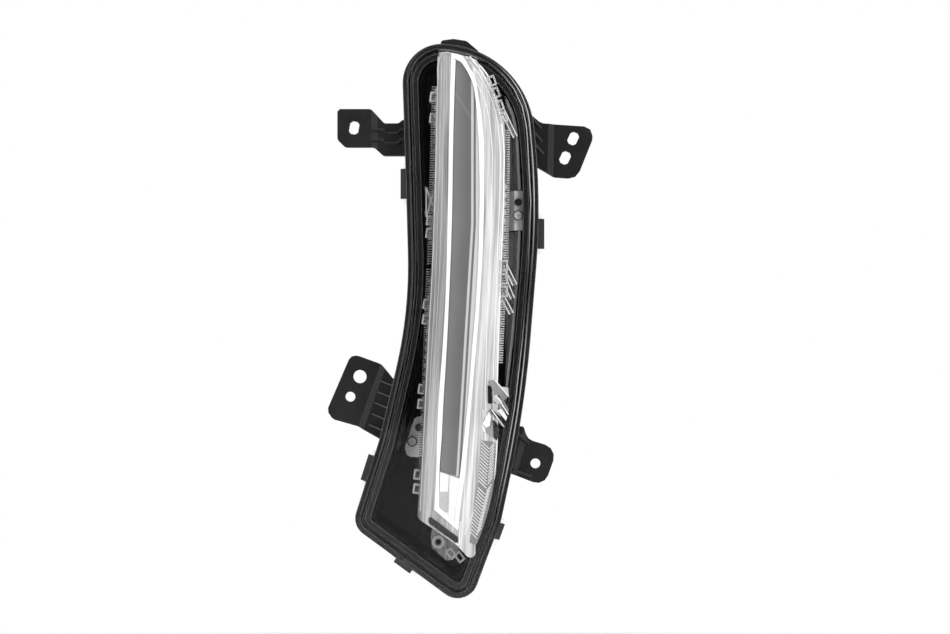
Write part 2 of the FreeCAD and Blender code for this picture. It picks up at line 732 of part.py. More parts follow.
def outer_lens():
    inside = lens_block(LENS_WALL)
    tabs = [snap_tab(*place).cut(inside) for place in CATCHES]
    return fused([lens_block(0.0).cut(inside)] + tabs)


def lens_glue():
    outer = RIM_LIP_WIDTH + GLUE_SIDE_GAP
    inner = RIM_LIP_WIDTH + GROOVE_WIDTH - GLUE_SIDE_GAP
    return ring(RIM_CORNERS, outer, inner, LENS_FOOT, GROOVE_FLOOR, True)


# Liner
def inner_liner():
    """Dark tray that lines the tub and stops round the light module."""
    inset = OPENING_INSET + LINER_GAP
    front = RIM_FRONT + LINER_SETBACK
    outer = leaning(RIM_CORNERS, inset, LINER_LEAN_DEG, front, SHELF_FRONT)
    hollow = leaning(RIM_CORNERS, inset + LINER_WALL, LINER_LEAN_DEG, front - 1.0, LINER_FLOOR_FRONT)
    ribs = [
        block((LINER_RIB_X, z), (LINER_RIB_LENGTH, LINER_RIB_THICKNESS),
              LINER_RIB_FRONT, LINER_FLOOR_FRONT + 0.5).common(outer)
        for z in LINER_RIB_Z
    ]
    body = fused([outer.cut(hollow)] + ribs)
    holes = [prism(CORE_CORNERS, LINER_LEDGE, LINER_FLOOR_FRONT - 5.0, BACK, True)]
    for place in (LOWER_CARRIER_SCREW, LOWER_CARRIER_PIN):
        holes.append(plain_rod(place, BOSS_RADIUS + FIT_GAP, LINER_BOSS_HOLE_FRONT, BACK))
    holes.append(upper_ear_boss(FIT_GAP))
    holes.append(upper_ear_strap(FIT_GAP))
    return body.cut(Part.makeCompound(holes))


# Carrier plate
def carrier_plate():
    """Pressed aluminium plate behind the optic, with two screwed ears."""
    body = fused([
        prism(CORE_CORNERS, -CARRIER_MARGIN, CARRIER_FRONT, LINER_FLOOR_FRONT, True),
        prism(LOWER_CARRIER_EAR, 0, CARRIER_FRONT, LINER_FLOOR_FRONT, True),
        upper_ear_strap(0.0),
    ])
    through = (UPPER_EAR_SEAT - 5.0, BACK)
    screw_hole_radius = CARRIER_SCREW_RADIUS + FIT_GAP
    holes = [plain_rod(place, screw_hole_radius, *through) for place, seat in carrier_screw_seats()]
    for place in (UPPER_CARRIER_PIN, LOWER_CARRIER_PIN):
        holes.append(plain_rod(place, PIN_RADIUS + FIT_GAP, *through, VISIBLE_SIDES))
    holes.append(header_window(*through))
    return body.cut(Part.makeCompound(holes))


def header_window(front, back):
    """Opening for the link pins through the carrier and the thermal pad."""
    return on_cover(block(HEADER_PLACE, (HEADER_SIZE[0] + 2.0, HEADER_SIZE[1] + 2.0), front, back))


def upper_ear_strap(gap):
    """Strap of the carrier that folds up from its edge and over the boss on the right."""
    low, high = UPPER_EAR_Z
    front = UPPER_EAR_SEAT - CARRIER_THICKNESS
    foot = UPPER_EAR_FOOT_X
    fold = UPPER_EAR_FOLD_X
    side = CARRIER_THICKNESS * 0.6
    profile = [
        (78.0, LINER_FLOOR_FRONT),
        (foot + gap, LINER_FLOOR_FRONT),
        (fold + gap, UPPER_EAR_SEAT),
        (UPPER_EAR_END_X + gap, UPPER_EAR_SEAT),
        (UPPER_EAR_END_X + gap, front - 20.0 * gap),
        (fold - side, front - 20.0 * gap),
        (foot - side, CARRIER_FRONT),
        (78.0, CARRIER_FRONT),
    ]
    points = [Vector(x, y, low - gap) for x, y in profile]
    return panel(points, Vector(0, 0, high - low + 2 * gap))


def carrier_screw_seats():
    """Places of the carrier's screws and the fronts of the ears under their heads."""
    return [
        (UPPER_CARRIER_SCREW, UPPER_EAR_SEAT - CARRIER_THICKNESS),
        (LOWER_CARRIER_SCREW, CARRIER_FRONT),
    ]


def plain_screw(place, seat, head_radius, head_height, radius, length):
    """Screw whose flat head stands forward of its seat."""
    head = plain_rod(place, head_radius, seat - head_height, seat)
    return head.fuse(plain_rod(place, radius, seat - 0.1, seat + length)).removeSplitter()


def pan_screw(place, seat, head_radius, head_height, radius, length):
    """Screw with a round head and a cross recess in it."""
    recess = seat - head_height + CROSS_DEPTH
    bars = [
        block(place, size, seat - head_height - 1.0, recess)
        for size in ((CROSS_WIDTH, head_radius * 1.3), (head_radius * 1.3, CROSS_WIDTH))
    ]
    head = plain_rod(place, head_radius, seat - head_height, seat, VISIBLE_SIDES).cut(bars[0].fuse(bars[1]))
    return head.fuse(plain_rod(place, radius, seat - 0.1, seat + length)).removeSplitter()


def turned_round(shape, plane):
    """The same shape pointing the other way along Y, mirrored about a plane."""
    return shape.mirror(Vector(0, plane, 0), Vector(0, 1, 0))


def carrier_screws():
    length = CARRIER_SCREW_LENGTH - CARRIER_THICKNESS
    return Part.makeCompound([
        pan_screw(place, seat, CARRIER_SCREW_HEAD_RADIUS, CARRIER_SCREW_HEAD_HEIGHT,
                  CARRIER_SCREW_RADIUS - 0.05, length)
        for place, seat in carrier_screw_seats()
    ])


# LED board
def axis_x(z):
    """X of the module's middle line at a height."""
    for (x_top, z_top), (x_low, z_low) in zip(MODULE_AXIS[:-1], MODULE_AXIS[1:]):
        if z >= z_low or (x_low, z_low) == MODULE_AXIS[-1]:
            share = (z_top - z) / (z_top - z_low)
            return x_top + (x_low - x_top) * share


def led_places():
    pitch = (LED_TOP_Z - LED_BOTTOM_Z) / (LED_COUNT - 1)
    heights = [LED_TOP_Z - i * pitch for i in range(LED_COUNT)]
    return [(axis_x(z), z) for z in heights]


def thermal_pad():
    """Soft sheet, sticky on both sides, that holds the board on the carrier."""
    return prism(CORE_CORNERS, 0, BOARD_BACK, CARRIER_FRONT, True).cut(header_window(BOARD_BACK - 1.0, BACK))


def led_board():
    return prism(CORE_CORNERS, 0, BOARD_FRONT, BOARD_BACK, True)


def leds():
    """Packages in a row down the middle of the board."""
    size = (LED_SIZE, LED_SIZE)
    front = BOARD_FRONT - LED_HEIGHT
    return Part.makeCompound([block(place, size, front, BOARD_FRONT) for place in led_places()])


# Optic
def teeth(start, end, front):
    """Row of saw teeth along one long side of the optic, from start to end."""
    along = unit(start, end)
    outward = (-along[1], along[0])
    length = math.hypot(end[0] - start[0], end[1] - start[1])
    count = int(length / TOOTH_PITCH)
    route = [(0.0, -TOOTH_DEPTH)]
    for i in range(count):
        route.append((i * TOOTH_PITCH, TOOTH_ROOT))
        route.append(((i + 0.5) * TOOTH_PITCH, TOOTH_ROOT + TOOTH_DEPTH))
    route += [(count * TOOTH_PITCH, TOOTH_ROOT), (count * TOOTH_PITCH, -TOOTH_DEPTH)]
    points = [
        Vector(start[0] + along[0] * s - outward[0] * t, front, start[1] + along[1] * s - outward[1] * t)
        for s, t in route
    ]
    return panel(points, Vector(0, TOOTH_LENGTH, 0))


def flutes():
    """Slanted grooves over the lower right of the optic's face."""
    grooves = []
    for i in range(FLUTE_COUNT):
        z = FLUTE_START[1] - FLUTE_PITCH * i
        middle = (FLUTE_START[0] - 0.11 * FLUTE_PITCH * i, z)
        level = OPTIC_FRONT + bow_drop(z)
        groove = block((0.0, 0.0), (14.0, FLUTE_PITCH * 0.4), level - 3.0, level + FLUTE_DEPTH)
        groove.rotate(Vector(0, 0, 0), Vector(0, 1, 0), 38.0)
        groove.translate(Vector(middle[0], 0, middle[1]))
        grooves.append(groove)
    keep = prism(MODULE_CORNERS, TOOTH_DEPTH + 3.0, FRONT_REACH, 0.0)
    keep = keep.cut(prism(LOOP_CORNERS, -1.5, FRONT_REACH - 1.0, 1.0))
    return Part.makeCompound(grooves).common(keep)


def lug(z):
    """Small clear lug that stands out from the optic's left side."""
    wire_x = edge_x(MODULE_CORNERS, z)
    width = LUG_REACH + LUG_ROOT
    place = (wire_x - LUG_REACH + width / 2.0, z)
    return block(place, (width, LUG_SIZE[1]), LUG_FRONT, LUG_FRONT + LUG_SIZE[0])


def edge_x(corners, z):
    """X of an outline's left side at a height."""
    line = Part.makeLine(Vector(-REACH, 0, z), Vector(REACH, 0, z))
    crossing = line.common(Part.Face(outline(corners, 0.0, 0.0)))
    return crossing.BoundBox.XMin


def prong(start, end):
    """Clear prong that runs down and out from the optic's right side."""
    along = unit(start, end)
    start = (start[0] - along[0] * 3.0 - 2.0, start[1] - along[1] * 3.0)
    length = math.hypot(end[0] - start[0], end[1] - start[1])
    back = PRONG_FRONT + PRONG_DEPTH
    heights = [(0.0, PRONG_FRONT), (length, PRONG_FRONT + 1.5), (length, back), (0.0, back)]
    return standing_panel(start, end, heights, PRONG_WIDTH)


def optic_room():
    """Space that the lens and the liner leave for the optic: over the rim, and below it."""
    rim_clear = RIM_FRONT - OPTIC_GAP
    over = lens_block(LENS_WALL + OPTIC_GAP)
    over = over.cut(Part.makeBox(2 * REACH, REACH, 2 * REACH, Vector(-REACH, rim_clear, -REACH)))
    depth = LINER_FLOOR_FRONT - RIM_FRONT
    lean = depth * math.tan(math.radians(LINER_LEAN_DEG))
    inset = OPENING_INSET + LINER_GAP + LINER_WALL + lean + OPTIC_GAP
    below = prism(RIM_CORNERS, inset, rim_clear - 1.0, LINER_FLOOR_FRONT - OPTIC_GAP, True)
    return over.fuse(below)


def bracket():
    """Crossed arms that reach from the optic over the rim's inner lip."""
    level = RIM_FRONT - 2 * OPTIC_GAP
    arms = []
    for turn in (BRACKET_TURN_DEG, -BRACKET_TURN_DEG):
        arm = block((0.0, 0.0), (BRACKET_WIDTH, 2 * BRACKET_ARM), level - BRACKET_THICKNESS, level)
        arm.rotate(Vector(0, 0, 0), Vector(0, 1, 0), turn)
        arm.translate(Vector(BRACKET_CENTRE[0], 0, BRACKET_CENTRE[1]))
        arms.append(arm)
    return arms


def inner_optic():
    """Thick clear optic over the board, with teeth, lugs, prongs and a foot with an eye."""
    added = [prism(MODULE_CORNERS, 0, FRONT_REACH, CARRIER_FRONT).common(bow(OPTIC_FRONT))]
    added += [teeth(*run) for run in TOOTH_RUNS]
    added += [lug(z) for z in LEFT_LUGS_Z]
    added += [prong(start, end) for start, end in PRONGS]
    added += bracket()
    eye_back = EYE_FRONT + 2.0 + FOOT_TAB_THICKNESS
    added.append(prism(FOOT_TAB, 0, EYE_FRONT + 2.0, eye_back, True))
    added.append(plain_rod(EYE_CENTRE, EYE_RADIUS, EYE_FRONT, eye_back, VISIBLE_SIDES))
    body = fused(added).common(optic_room())
    cuts = [prism(CORE_CORNERS, -BOARD_GAP, OPTIC_CEILING, CARRIER_FRONT + 1.0, True), flutes()]
    cuts.append(plain_rod(EYE_CENTRE, EYE_HOLE_RADIUS, EYE_FRONT - 1.0, CARRIER_FRONT + 1.0, VISIBLE_SIDES))
    return body.cut(Part.makeCompound(cuts))


def light_loop():
    """Raised band that lies on the optic's face and runs round the strip."""
    front = OPTIC_FRONT - LOOP_RISE
    inside = bowed_prism(LOOP_CORNERS, LOOP_WIDTH, front - 1.0, OPTIC_FRONT + 1.0, True)
    return bowed_prism(LOOP_CORNERS, 0.0, front, OPTIC_FRONT, True).cut(inside)


def below_strip_end():
    """Space below the slanted line where the strip ends and the end block starts."""
    left = Vector(0.0, FRONT_REACH, STRIP_END_Z - STRIP_END_SLOPE * 50.0)
    right = Vector(100.0, FRONT_REACH, STRIP_END_Z + STRIP_END_SLOPE * 50.0)
    low = -REACH
    points = [left, right, Vector(100.0, FRONT_REACH, low), Vector(0.0, FRONT_REACH, low)]
    return panel(points, Vector(0, BACK - FRONT_REACH, 0))


def centre_strip():
    strip = bowed_prism(LOOP_CORNERS, LOOP_WIDTH + LOOP_GAP, OPTIC_FRONT - STRIP_RISE, OPTIC_FRONT, True)
    return strip.cut(below_strip_end())


def end_block():
    whole = bowed_prism(LOOP_CORNERS, LOOP_WIDTH + LOOP_GAP, OPTIC_FRONT - BLOCK_RISE, OPTIC_FRONT, True)
    gap = below_strip_end()
    gap.translate(Vector(0, 0, -2 * LOOP_GAP))
    return whole.common(gap)


def foot_trim():
    return bowed_prism(TRIM_CORNERS, 0, OPTIC_FRONT - TRIM_RISE, OPTIC_FRONT, True)


def reflector_tray():
    """White wall round the LEDs, on the board and inside the optic."""
    outer = TRAY_GAP - BOARD_GAP
    return ring(CORE_CORNERS, outer, outer + TRAY_WALL, TRAY_FRONT, BOARD_FRONT, True)


# Rear cover and driver
def on_cover(shape):
    """Moves a shape from the cover's own frame to its tilted place on the back."""
    shape.rotate(Vector(0, 0, 0), Vector(0, 1, 0), COVER_TILT_DEG)
    shape.translate(Vector(COVER_MIDDLE[0], 0, COVER_MIDDLE[1]))
    return shape


def cover_point(u, v):
    """Place in the front view of a point given in the cover's own frame."""
    tilt = math.radians(COVER_TILT_DEG)
    x = COVER_MIDDLE[0] + u * math.cos(tilt) + v * math.sin(tilt)
    z = COVER_MIDDLE[1] - u * math.sin(tilt) + v * math.cos(tilt)
    return x, z


def cover_screw_places():
    u = COVER_SIZE[0] / 2.0 - COVER_SCREW_EDGE
    v = COVER_SIZE[1] / 2.0 - COVER_SCREW_EDGE
    return [cover_point(s * u, t * v) for s in (-1, 1) for t in (-1, 1)]


def driver_fixings():
    """Places of the driver board's standoffs, in the cover's own frame."""
    u = DRIVER_SIZE[0] / 2.0 - STANDOFF_INSET
    v = DRIVER_SIZE[1] / 2.0 - STANDOFF_INSET
    return [(-u, v), (u, -v)]


def seal_insets():
    """Outer and inner size of the seal's groove, in the cover's own frame."""
    inner = (COVER_OPENING[0] + 2 * SEAL_EDGE, COVER_OPENING[1] + 2 * SEAL_EDGE)
    outer = (inner[0] + 2 * SEAL_WIDTH, inner[1] + 2 * SEAL_WIDTH)
    return outer, inner


def seal_ring(play, front, back):
    outer, inner = seal_insets()
    band = prism(rounded_rectangle(outer, COVER_CORNER + SEAL_WIDTH), -play, front, back, True)
    return band.cut(prism(rounded_rectangle(inner, COVER_CORNER), play, front, back, True))


def rear_cover():
    """Cover plate with board standoffs inside and the connector socket outside."""
    plate = prism(rounded_rectangle(COVER_SIZE, COVER_CORNER), 0, BACK, COVER_BACK, True)
    shroud = prism(rounded_rectangle(SOCKET_SIZE, SOCKET_CORNER), 0, BACK, COVER_BACK + SOCKET_LENGTH, True)
    shroud.translate(Vector(SOCKET_PLACE[0], 0, SOCKET_PLACE[1]))
    latch_front = COVER_BACK + SOCKET_LENGTH * 0.45
    latch_place = (SOCKET_PLACE[0], SOCKET_PLACE[1] + SOCKET_SIZE[1] / 2.0 + LATCH_SIZE[2] / 2.0 - 0.2)
    latch = block(latch_place, (LATCH_SIZE[0], LATCH_SIZE[2] + 0.4), latch_front, latch_front + LATCH_SIZE[1])
    standoffs = [plain_rod(place, STANDOFF_RADIUS, DRIVER_BACK, BACK + 0.5) for place in driver_fixings()]
    body = fused([plate, shroud, latch] + standoffs)
    inside = (SOCKET_SIZE[0] - 2 * SOCKET_WALL, SOCKET_SIZE[1] - 2 * SOCKET_WALL)
    mouth_corners = rounded_rectangle(inside, SOCKET_CORNER - SOCKET_WALL)
    mouth = prism(mouth_corners, 0, COVER_BACK, COVER_BACK + 40.0, True)
    mouth.translate(Vector(SOCKET_PLACE[0], 0, SOCKET_PLACE[1]))
    cuts = [mouth, seal_ring(FIT_GAP, BACK - 1.0, BACK + SEAL_THICKNESS)]
    cuts += [
        plain_rod(place, SMALL_SCREW_RADIUS, DRIVER_BACK - 1.0, BACK + 1.0)
        for place in driver_fixings()
    ]
    cuts += [
        block(place, (TERMINAL_SIZE[0] + 0.04, TERMINAL_SIZE[1] + 0.04), DRIVER_BACK, COVER_BACK + 1.0)
        for place in terminal_places()
    ]
    body = on_cover(body.cut(Part.makeCompound(cuts)))
    screws = [
        plain_rod(place, SMALL_SCREW_RADIUS + FIT_GAP, BACK - 1.0, COVER_BACK + 1.0)
        for place in cover_screw_places()
    ]
    return body.cut(Part.makeCompound(screws))


def cover_seal():
    return on_cover(seal_ring(0.0, BACK, BACK + SEAL_THICKNESS))


def cover_screws():
    screws = []
    for place in cover_screw_places():
        screw = plain_screw(place, COVER_BACK, SMALL_SCREW_HEAD_RADIUS, SMALL_SCREW_HEAD_HEIGHT,
                          SMALL_SCREW_RADIUS - 0.05, SMALL_SCREW_LENGTH)
        screws.append(turned_round(screw, COVER_BACK))
    return Part.makeCompound(screws)


def terminal_places():
    """Places of the socket's terminals, in the cover's own frame."""
    first = -(TERMINALS - 1) * TERMINAL_PITCH / 2.0
    return [(SOCKET_PLACE[0] + first + i * TERMINAL_PITCH, SOCKET_PLACE[1]) for i in range(TERMINALS)]


def terminals():
    """Blades from the driver board through the cover into the socket."""
    front = DRIVER_FRONT - PIN_TAIL
    blades = [
        on_cover(block(place, TERMINAL_SIZE, front, COVER_BACK + TERMINAL_REACH))
        for place in terminal_places()
    ]
    return Part.makeCompound(blades)


def header_places():
    """Places of the link pins between the two boards, in the cover's own frame."""
    first = -(HEADER_PINS - 1) * HEADER_PITCH / 2.0
    return [(HEADER_PLACE[0] + first + i * HEADER_PITCH, HEADER_PLACE[1]) for i in range(HEADER_PINS)]


def header_pin_holes(front, back):
    """Holes for the link pins through a board."""
    width = PIN_WIDTH + 0.04
    return [on_cover(block(place, (width, width), front - 1.0, back + 1.0)) for place in header_places()]


def link_pins():
    """Square pins soldered to the LED board's back that run through the driver board."""
    back = DRIVER_BACK + PIN_TAIL
    pins = [on_cover(block(place, (PIN_WIDTH, PIN_WIDTH), BOARD_BACK, back)) for place in header_places()]
    return Part.makeCompound(pins)


def link_header():
    """Plastic body that holds the link pins, on the driver board's front."""
    body = block(HEADER_PLACE, HEADER_SIZE[:2], DRIVER_FRONT - HEADER_SIZE[2], DRIVER_FRONT)
    body = on_cover(body)
    holes = header_pin_holes(DRIVER_FRONT - HEADER_SIZE[2], DRIVER_FRONT)
    return body.cut(Part.makeCompound(holes))


def driver_board():
    board = block((0.0, 0.0), DRIVER_SIZE, DRIVER_FRONT, DRIVER_BACK)
    holes = [
        plain_rod(place, SMALL_SCREW_RADIUS + FIT_GAP, DRIVER_FRONT - 1.0, BACK)
        for place in driver_fixings()
    ]
    holes += [
        block(place, (TERMINAL_SIZE[0] + 0.04, TERMINAL_SIZE[1] + 0.04), DRIVER_FRONT - 1.0, BACK)
        for place in terminal_places()
    ]
    board = on_cover(board.cut(Part.makeCompound(holes)))
    return board.cut(Part.makeCompound(header_pin_holes(DRIVER_FRONT, DRIVER_BACK)))


def driver_screws():
    screws = []
    for place in driver_fixings():
        screws.append(on_cover(plain_screw(
            place, DRIVER_FRONT, SMALL_SCREW_HEAD_RADIUS, SMALL_SCREW_HEAD_HEIGHT,
            SMALL_SCREW_RADIUS - 0.05, BOARD_THICKNESS + STANDOFF_HEIGHT - 1.0,
        )))
    return Part.makeCompound(screws)


def inductor():
    front = DRIVER_FRONT - INDUCTOR_SIZE[2]
    return on_cover(block(INDUCTOR_PLACE, INDUCTOR_SIZE[:2], front, DRIVER_FRONT))


def capacitors():
    front = DRIVER_FRONT - CAPACITOR_HEIGHT
    cans = [
        plain_rod(place, CAPACITOR_RADIUS, front, DRIVER_FRONT, VISIBLE_SIDES)
        for place in CAPACITORS
    ]
    return Part.makeCompound([on_cover(can) for can in cans])


def driver_chips():
    front = DRIVER_FRONT - CHIP_SIZE[2]
    return Part.makeCompound([on_cover(block(place, CHIP_SIZE[:2], front, DRIVER_FRONT)) for place in CHIPS])


# Vent
def vent_membrane():
    seat = BACK + VENT_BOSS_HEIGHT
    return plain_rod(VENT_PLACE, VENT_BOSS_RADIUS - 0.5, seat, seat + VENT_MEMBRANE_THICKNESS)


def vent_cap():
    """Cap pressed over the vent boss, with slots round its skirt for the air."""
    radius = VENT_BOSS_RADIUS + VENT_CAP_WALL
    seat = BACK + VENT_BOSS_HEIGHT + VENT_MEMBRANE_THICKNESS
    cap_back = seat + VENT_CAP_GAP + VENT_CAP_WALL
    cap = plain_rod(VENT_PLACE, radius, BACK + VENT_CAP_GAP, cap_back, VISIBLE_SIDES)
    bore = plain_rod(VENT_PLACE, VENT_BOSS_RADIUS, BACK - 1.0, seat + VENT_CAP_GAP, VISIBLE_SIDES)
    slots = []
    for i in range(VENT_CAP_SLOTS):
        cutter = block((0.0, 0.0), (4 * radius, 1.6), BACK, BACK + VENT_BOSS_HEIGHT * 0.8)
        cutter.rotate(Vector(0, 0, 0), Vector(0, 1, 0), i * 180.0 / VENT_CAP_SLOTS)
        cutter.translate(Vector(VENT_PLACE[0], 0, VENT_PLACE[1]))
        slots.append(cutter)
    return cap.cut(bore).cut(Part.makeCompound(slots))


PIECES = {
    "housing": housing,
    "outer_lens": outer_lens,
    "lens_glue": lens_glue,
    "inner_liner": inner_liner,
    "carrier_plate": carrier_plate,
    "carrier_screws": carrier_screws,
    "thermal_pad": thermal_pad,
    "led_board": led_board,
    "leds": leds,
    "reflector_tray": reflector_tray,
    "inner_optic": inner_optic,
    "light_loop": light_loop,
    "centre_strip": centre_strip,
    "end_block": end_block,
    "foot_trim": foot_trim,
    "rear_cover": rear_cover,
    "cover_seal": cover_seal,
    "cover_screws": cover_screws,
    "driver_board": driver_board,
    "driver_screws": driver_screws,
    "inductor": inductor,
    "capacitors": capacitors,
    "driver_chips": driver_chips,
    "terminals": terminals,
    "link_header": link_header,
    "link_pins": link_pins,
    "vent_membrane": vent_membrane,
    "vent_cap": vent_cap,
}

os.makedirs("parts", exist_ok=True)
for name, make in PIECES.items():
    make().exportStep(os.path.join("parts", name + ".step"))
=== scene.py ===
import json
import math

import bmesh
import bpy
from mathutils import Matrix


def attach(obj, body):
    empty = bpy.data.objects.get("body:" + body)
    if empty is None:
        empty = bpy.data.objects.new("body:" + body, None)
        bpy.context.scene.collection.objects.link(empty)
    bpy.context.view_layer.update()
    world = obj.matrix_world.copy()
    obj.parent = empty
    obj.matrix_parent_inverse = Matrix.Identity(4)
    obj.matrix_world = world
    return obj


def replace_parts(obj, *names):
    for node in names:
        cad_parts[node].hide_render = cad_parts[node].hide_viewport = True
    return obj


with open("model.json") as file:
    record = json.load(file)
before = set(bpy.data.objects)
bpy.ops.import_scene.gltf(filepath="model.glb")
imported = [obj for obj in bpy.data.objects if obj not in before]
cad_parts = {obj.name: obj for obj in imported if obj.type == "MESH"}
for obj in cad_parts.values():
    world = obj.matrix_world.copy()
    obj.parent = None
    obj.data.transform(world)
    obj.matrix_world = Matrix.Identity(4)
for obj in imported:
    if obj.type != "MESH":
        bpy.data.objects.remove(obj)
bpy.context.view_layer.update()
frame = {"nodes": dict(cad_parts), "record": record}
nodes = frame["nodes"]


# Camera
# It looks straight at the front, as in the picture, from far enough for little perspective.
# picture_width is what it shows across at the part, in metres.
picture_width = 0.57
picture_middle = (0.0697, -0.012, 0.0361)
camera_data = bpy.data.cameras.new("camera")
camera_data.lens = 80.0
camera_data.sensor_width = 36.0
camera = bpy.data.objects.new("camera", camera_data)
distance = picture_width * camera_data.lens / camera_data.sensor_width
camera.location = (picture_middle[0], picture_middle[1] - distance, picture_middle[2])
camera.rotation_euler = (math.radians(90.0), 0.0, 0.0)
bpy.context.collection.objects.link(camera)
bpy.context.scene.camera = camera
bpy.context.scene.view_settings.view_transform = "Standard"


# Shader building
# Sums are written with operators on a wrapped socket. Other nodes are added by Finish.add.
class Value:
    """A shader output that takes part in sums."""

    def __init__(self, finish, socket):
        self.finish = finish
        self.socket = socket

    def apply(self, operation, *others):
        node = self.finish.tree.nodes.new("ShaderNodeMath")
        node.operation = operation
        for slot, value in enumerate((self,) + others):
            self.finish.feed(node.inputs[slot], value)
        return Value(self.finish, node.outputs[0])

    def __add__(self, other):
        return self.apply("ADD", other)

    def __sub__(self, other):
        return self.apply("SUBTRACT", other)

    def __rsub__(self, other):
        return self.apply("MULTIPLY", -1.0) + other

    def __mul__(self, other):
        return self.apply("MULTIPLY", other)

    def between(self, low, high):
        """Smooth 0 to 1 as the value goes from low to high."""
        smooth = {"interpolation_type": "SMOOTHSTEP"}
        limits = {"From Min": low, "From Max": high}
        return self.finish.add("ShaderNodeMapRange", settings=smooth, Value=self, **limits)


class Finish:
    """A node tree of a material or the world, with its nodes added one by one."""

    def __init__(self, name, group=bpy.data.materials, surface="Principled BSDF"):
        self.material = group.new(name)
        self.material.use_nodes = True
        self.tree = self.material.node_tree
        self.surface = self.tree.nodes[surface]

    def feed(self, slot, value):
        if isinstance(value, Value):
            self.tree.links.new(value.socket, slot)
        else:
            slot.default_value = value

    def add(self, kind, output=0, settings=None, **inputs):
        """One output of a new node of a kind, with its settings and then its inputs."""
        node = self.tree.nodes.new(kind)
        for name, value in (settings or {}).items():
            setattr(node, name, value)
        for name, value in inputs.items():
            self.feed(node.inputs[name], value)
        return Value(self, node.outputs[output])

    def set(self, **inputs):
        for name, value in inputs.items():
            self.feed(self.surface.inputs[name.replace("_", " ")], value)

    def place(self):
        return self.add("ShaderNodeTexCoord", "Object")

    def axis(self, name, vector=None):
        """X, Y or Z of a vector, the object's own place if none is given."""
        return self.add("ShaderNodeSeparateXYZ", name, Vector=vector or self.place())

    def noise(self, scale, detail=3.0, stretch=(1.0, 1.0, 1.0)):
        where = self.add("ShaderNodeMapping", Vector=self.place(), Scale=stretch)
        return self.add("ShaderNodeTexNoise", Vector=where, Scale=scale, Detail=detail)

    def blend(self, share, first, second):
        """Mixes two shaders by a share and makes them the surface."""
        mixed = self.add("ShaderNodeMixShader").socket.node
        for slot, value in enumerate((share, first, second)):
            self.feed(mixed.inputs[slot], value)
        self.feed(self.tree.nodes["Material Output"].inputs["Surface"], Value(self, mixed.outputs[0]))

    def grey(self, level):
        """A neutral colour whose brightness is a value."""
        return self.add("ShaderNodeCombineColor", Red=level, Green=level, Blue=level)

    def relief(self, height, distance, strength=1.0, edge=0.0):
        """Bump, over edges that look rounded by the edge radius."""
        inputs = {"Height": height, "Distance": distance, "Strength": strength}
        if edge:
            inputs["Normal"] = self.add("ShaderNodeBevel", Radius=edge)
        self.set(Normal=self.add("ShaderNodeBump", **inputs))


# Plain finishes
# Plastics, metals and rubbers of one colour. Each has a grey level, roughness, metal, grain scale
# and grain depth, and the light rounds its edges.
def plain(name, level, rough, metal=0.0, scale=1500.0, depth=0.00004, edge=0.0004, mottle=0.25):
    finish = Finish(name)
    coarse = finish.noise(60.0)
    fine = finish.noise(scale, 2.0)
    finish.set(
        Base_Color=finish.grey((coarse - 0.5) * (level * mottle) + level),
        Roughness=(coarse - 0.5) * 0.2 + rough,
        Metallic=metal,
    )
    finish.relief(fine, depth, strength=0.6, edge=edge)
    return finish


finishes = {
    "black_plastic": plain("black_plastic", 0.008, 0.3, edge=0.0007),
    "glue": plain("glue", 0.02, 0.35, depth=0.0002, scale=300.0),
    "bare_aluminium": plain("bare_aluminium", 0.95, 0.4, scale=700.0, depth=0.00003),
    "screw_steel": plain("screw_steel", 0.8, 0.25, metal=0.2),
    "pad_rubber": plain("pad_rubber", 0.2, 0.7),
    "board": plain("board", 0.7, 0.35),
    "driver_laminate": plain("driver_laminate", 0.06, 0.4),
    "led_package": plain("led_package", 0.6, 0.5),
    "seal_rubber": plain("seal_rubber", 0.015, 0.7),
    "component": plain("component", 0.02, 0.5),
    "tinned_brass": plain("tinned_brass", 0.6, 0.3, metal=1.0),
    "membrane": plain("membrane", 0.6, 0.8),
    "white_plastic": plain("white_plastic", 0.85, 0.3, mottle=0.1),
    "frosted_light": plain("frosted_light", 0.95, 0.2, mottle=0.06),
    "dark_trim": plain("dark_trim", 0.04, 0.15),
}
finishes["black_plastic"].set(Specular_IOR_Level=0.4)
# Trim at the front is nearly black, and the rim's lips and the rings further back are greyer. On the lips
# this grey is a painted highlight.
trim = finishes["dark_trim"]
trim.set(Base_Color=trim.grey(trim.axis("Y").between(-0.026, -0.023) * 0.03 + 0.01))


# Dark liner
# A moulded black tray that lines the tub round the module. Its right wall is painted grey, painted light
# where it would catch the light, and its floor has faint streaks of painted reflection.
right_wall_place = (0.0872, 0.0890)
liner = Finish("dark_plastic")
# Painted light: the right wall is painted grey.
painted_light_wall = liner.axis("X").between(*right_wall_place)
liner_cloud = liner.noise(40.0, stretch=(1.0, 1.0, 0.3))
# Painted reflection: faint stretched streaks in the colour.
painted_reflection_streaks = liner.noise(30.0, stretch=(1.6, 1.0, 0.5)).between(0.5, 0.75)
liner_level = painted_light_wall * liner_cloud * 1.1 + painted_reflection_streaks * 0.03 + 0.002
liner.set(Base_Color=liner.grey(liner_level), Roughness=liner_cloud * 0.2 + 0.15)
liner.set(Specular_IOR_Level=0.15)
liner.relief(liner.noise(1500.0, 2.0), distance=0.00004, strength=0.6, edge=0.0006)
finishes["dark_plastic"] = liner


# Clear moulding
# Polished clear plastic of the small clips at the sides and foot, moulded with the optic. It
# bends what is seen behind it.
moulding = plain("clear_moulding", 0.95, 0.0, depth=0.0001, scale=400.0, mottle=0.04)
moulding.set(Transmission_Weight=0.7, IOR=1.49)
finishes["clear_moulding"] = moulding


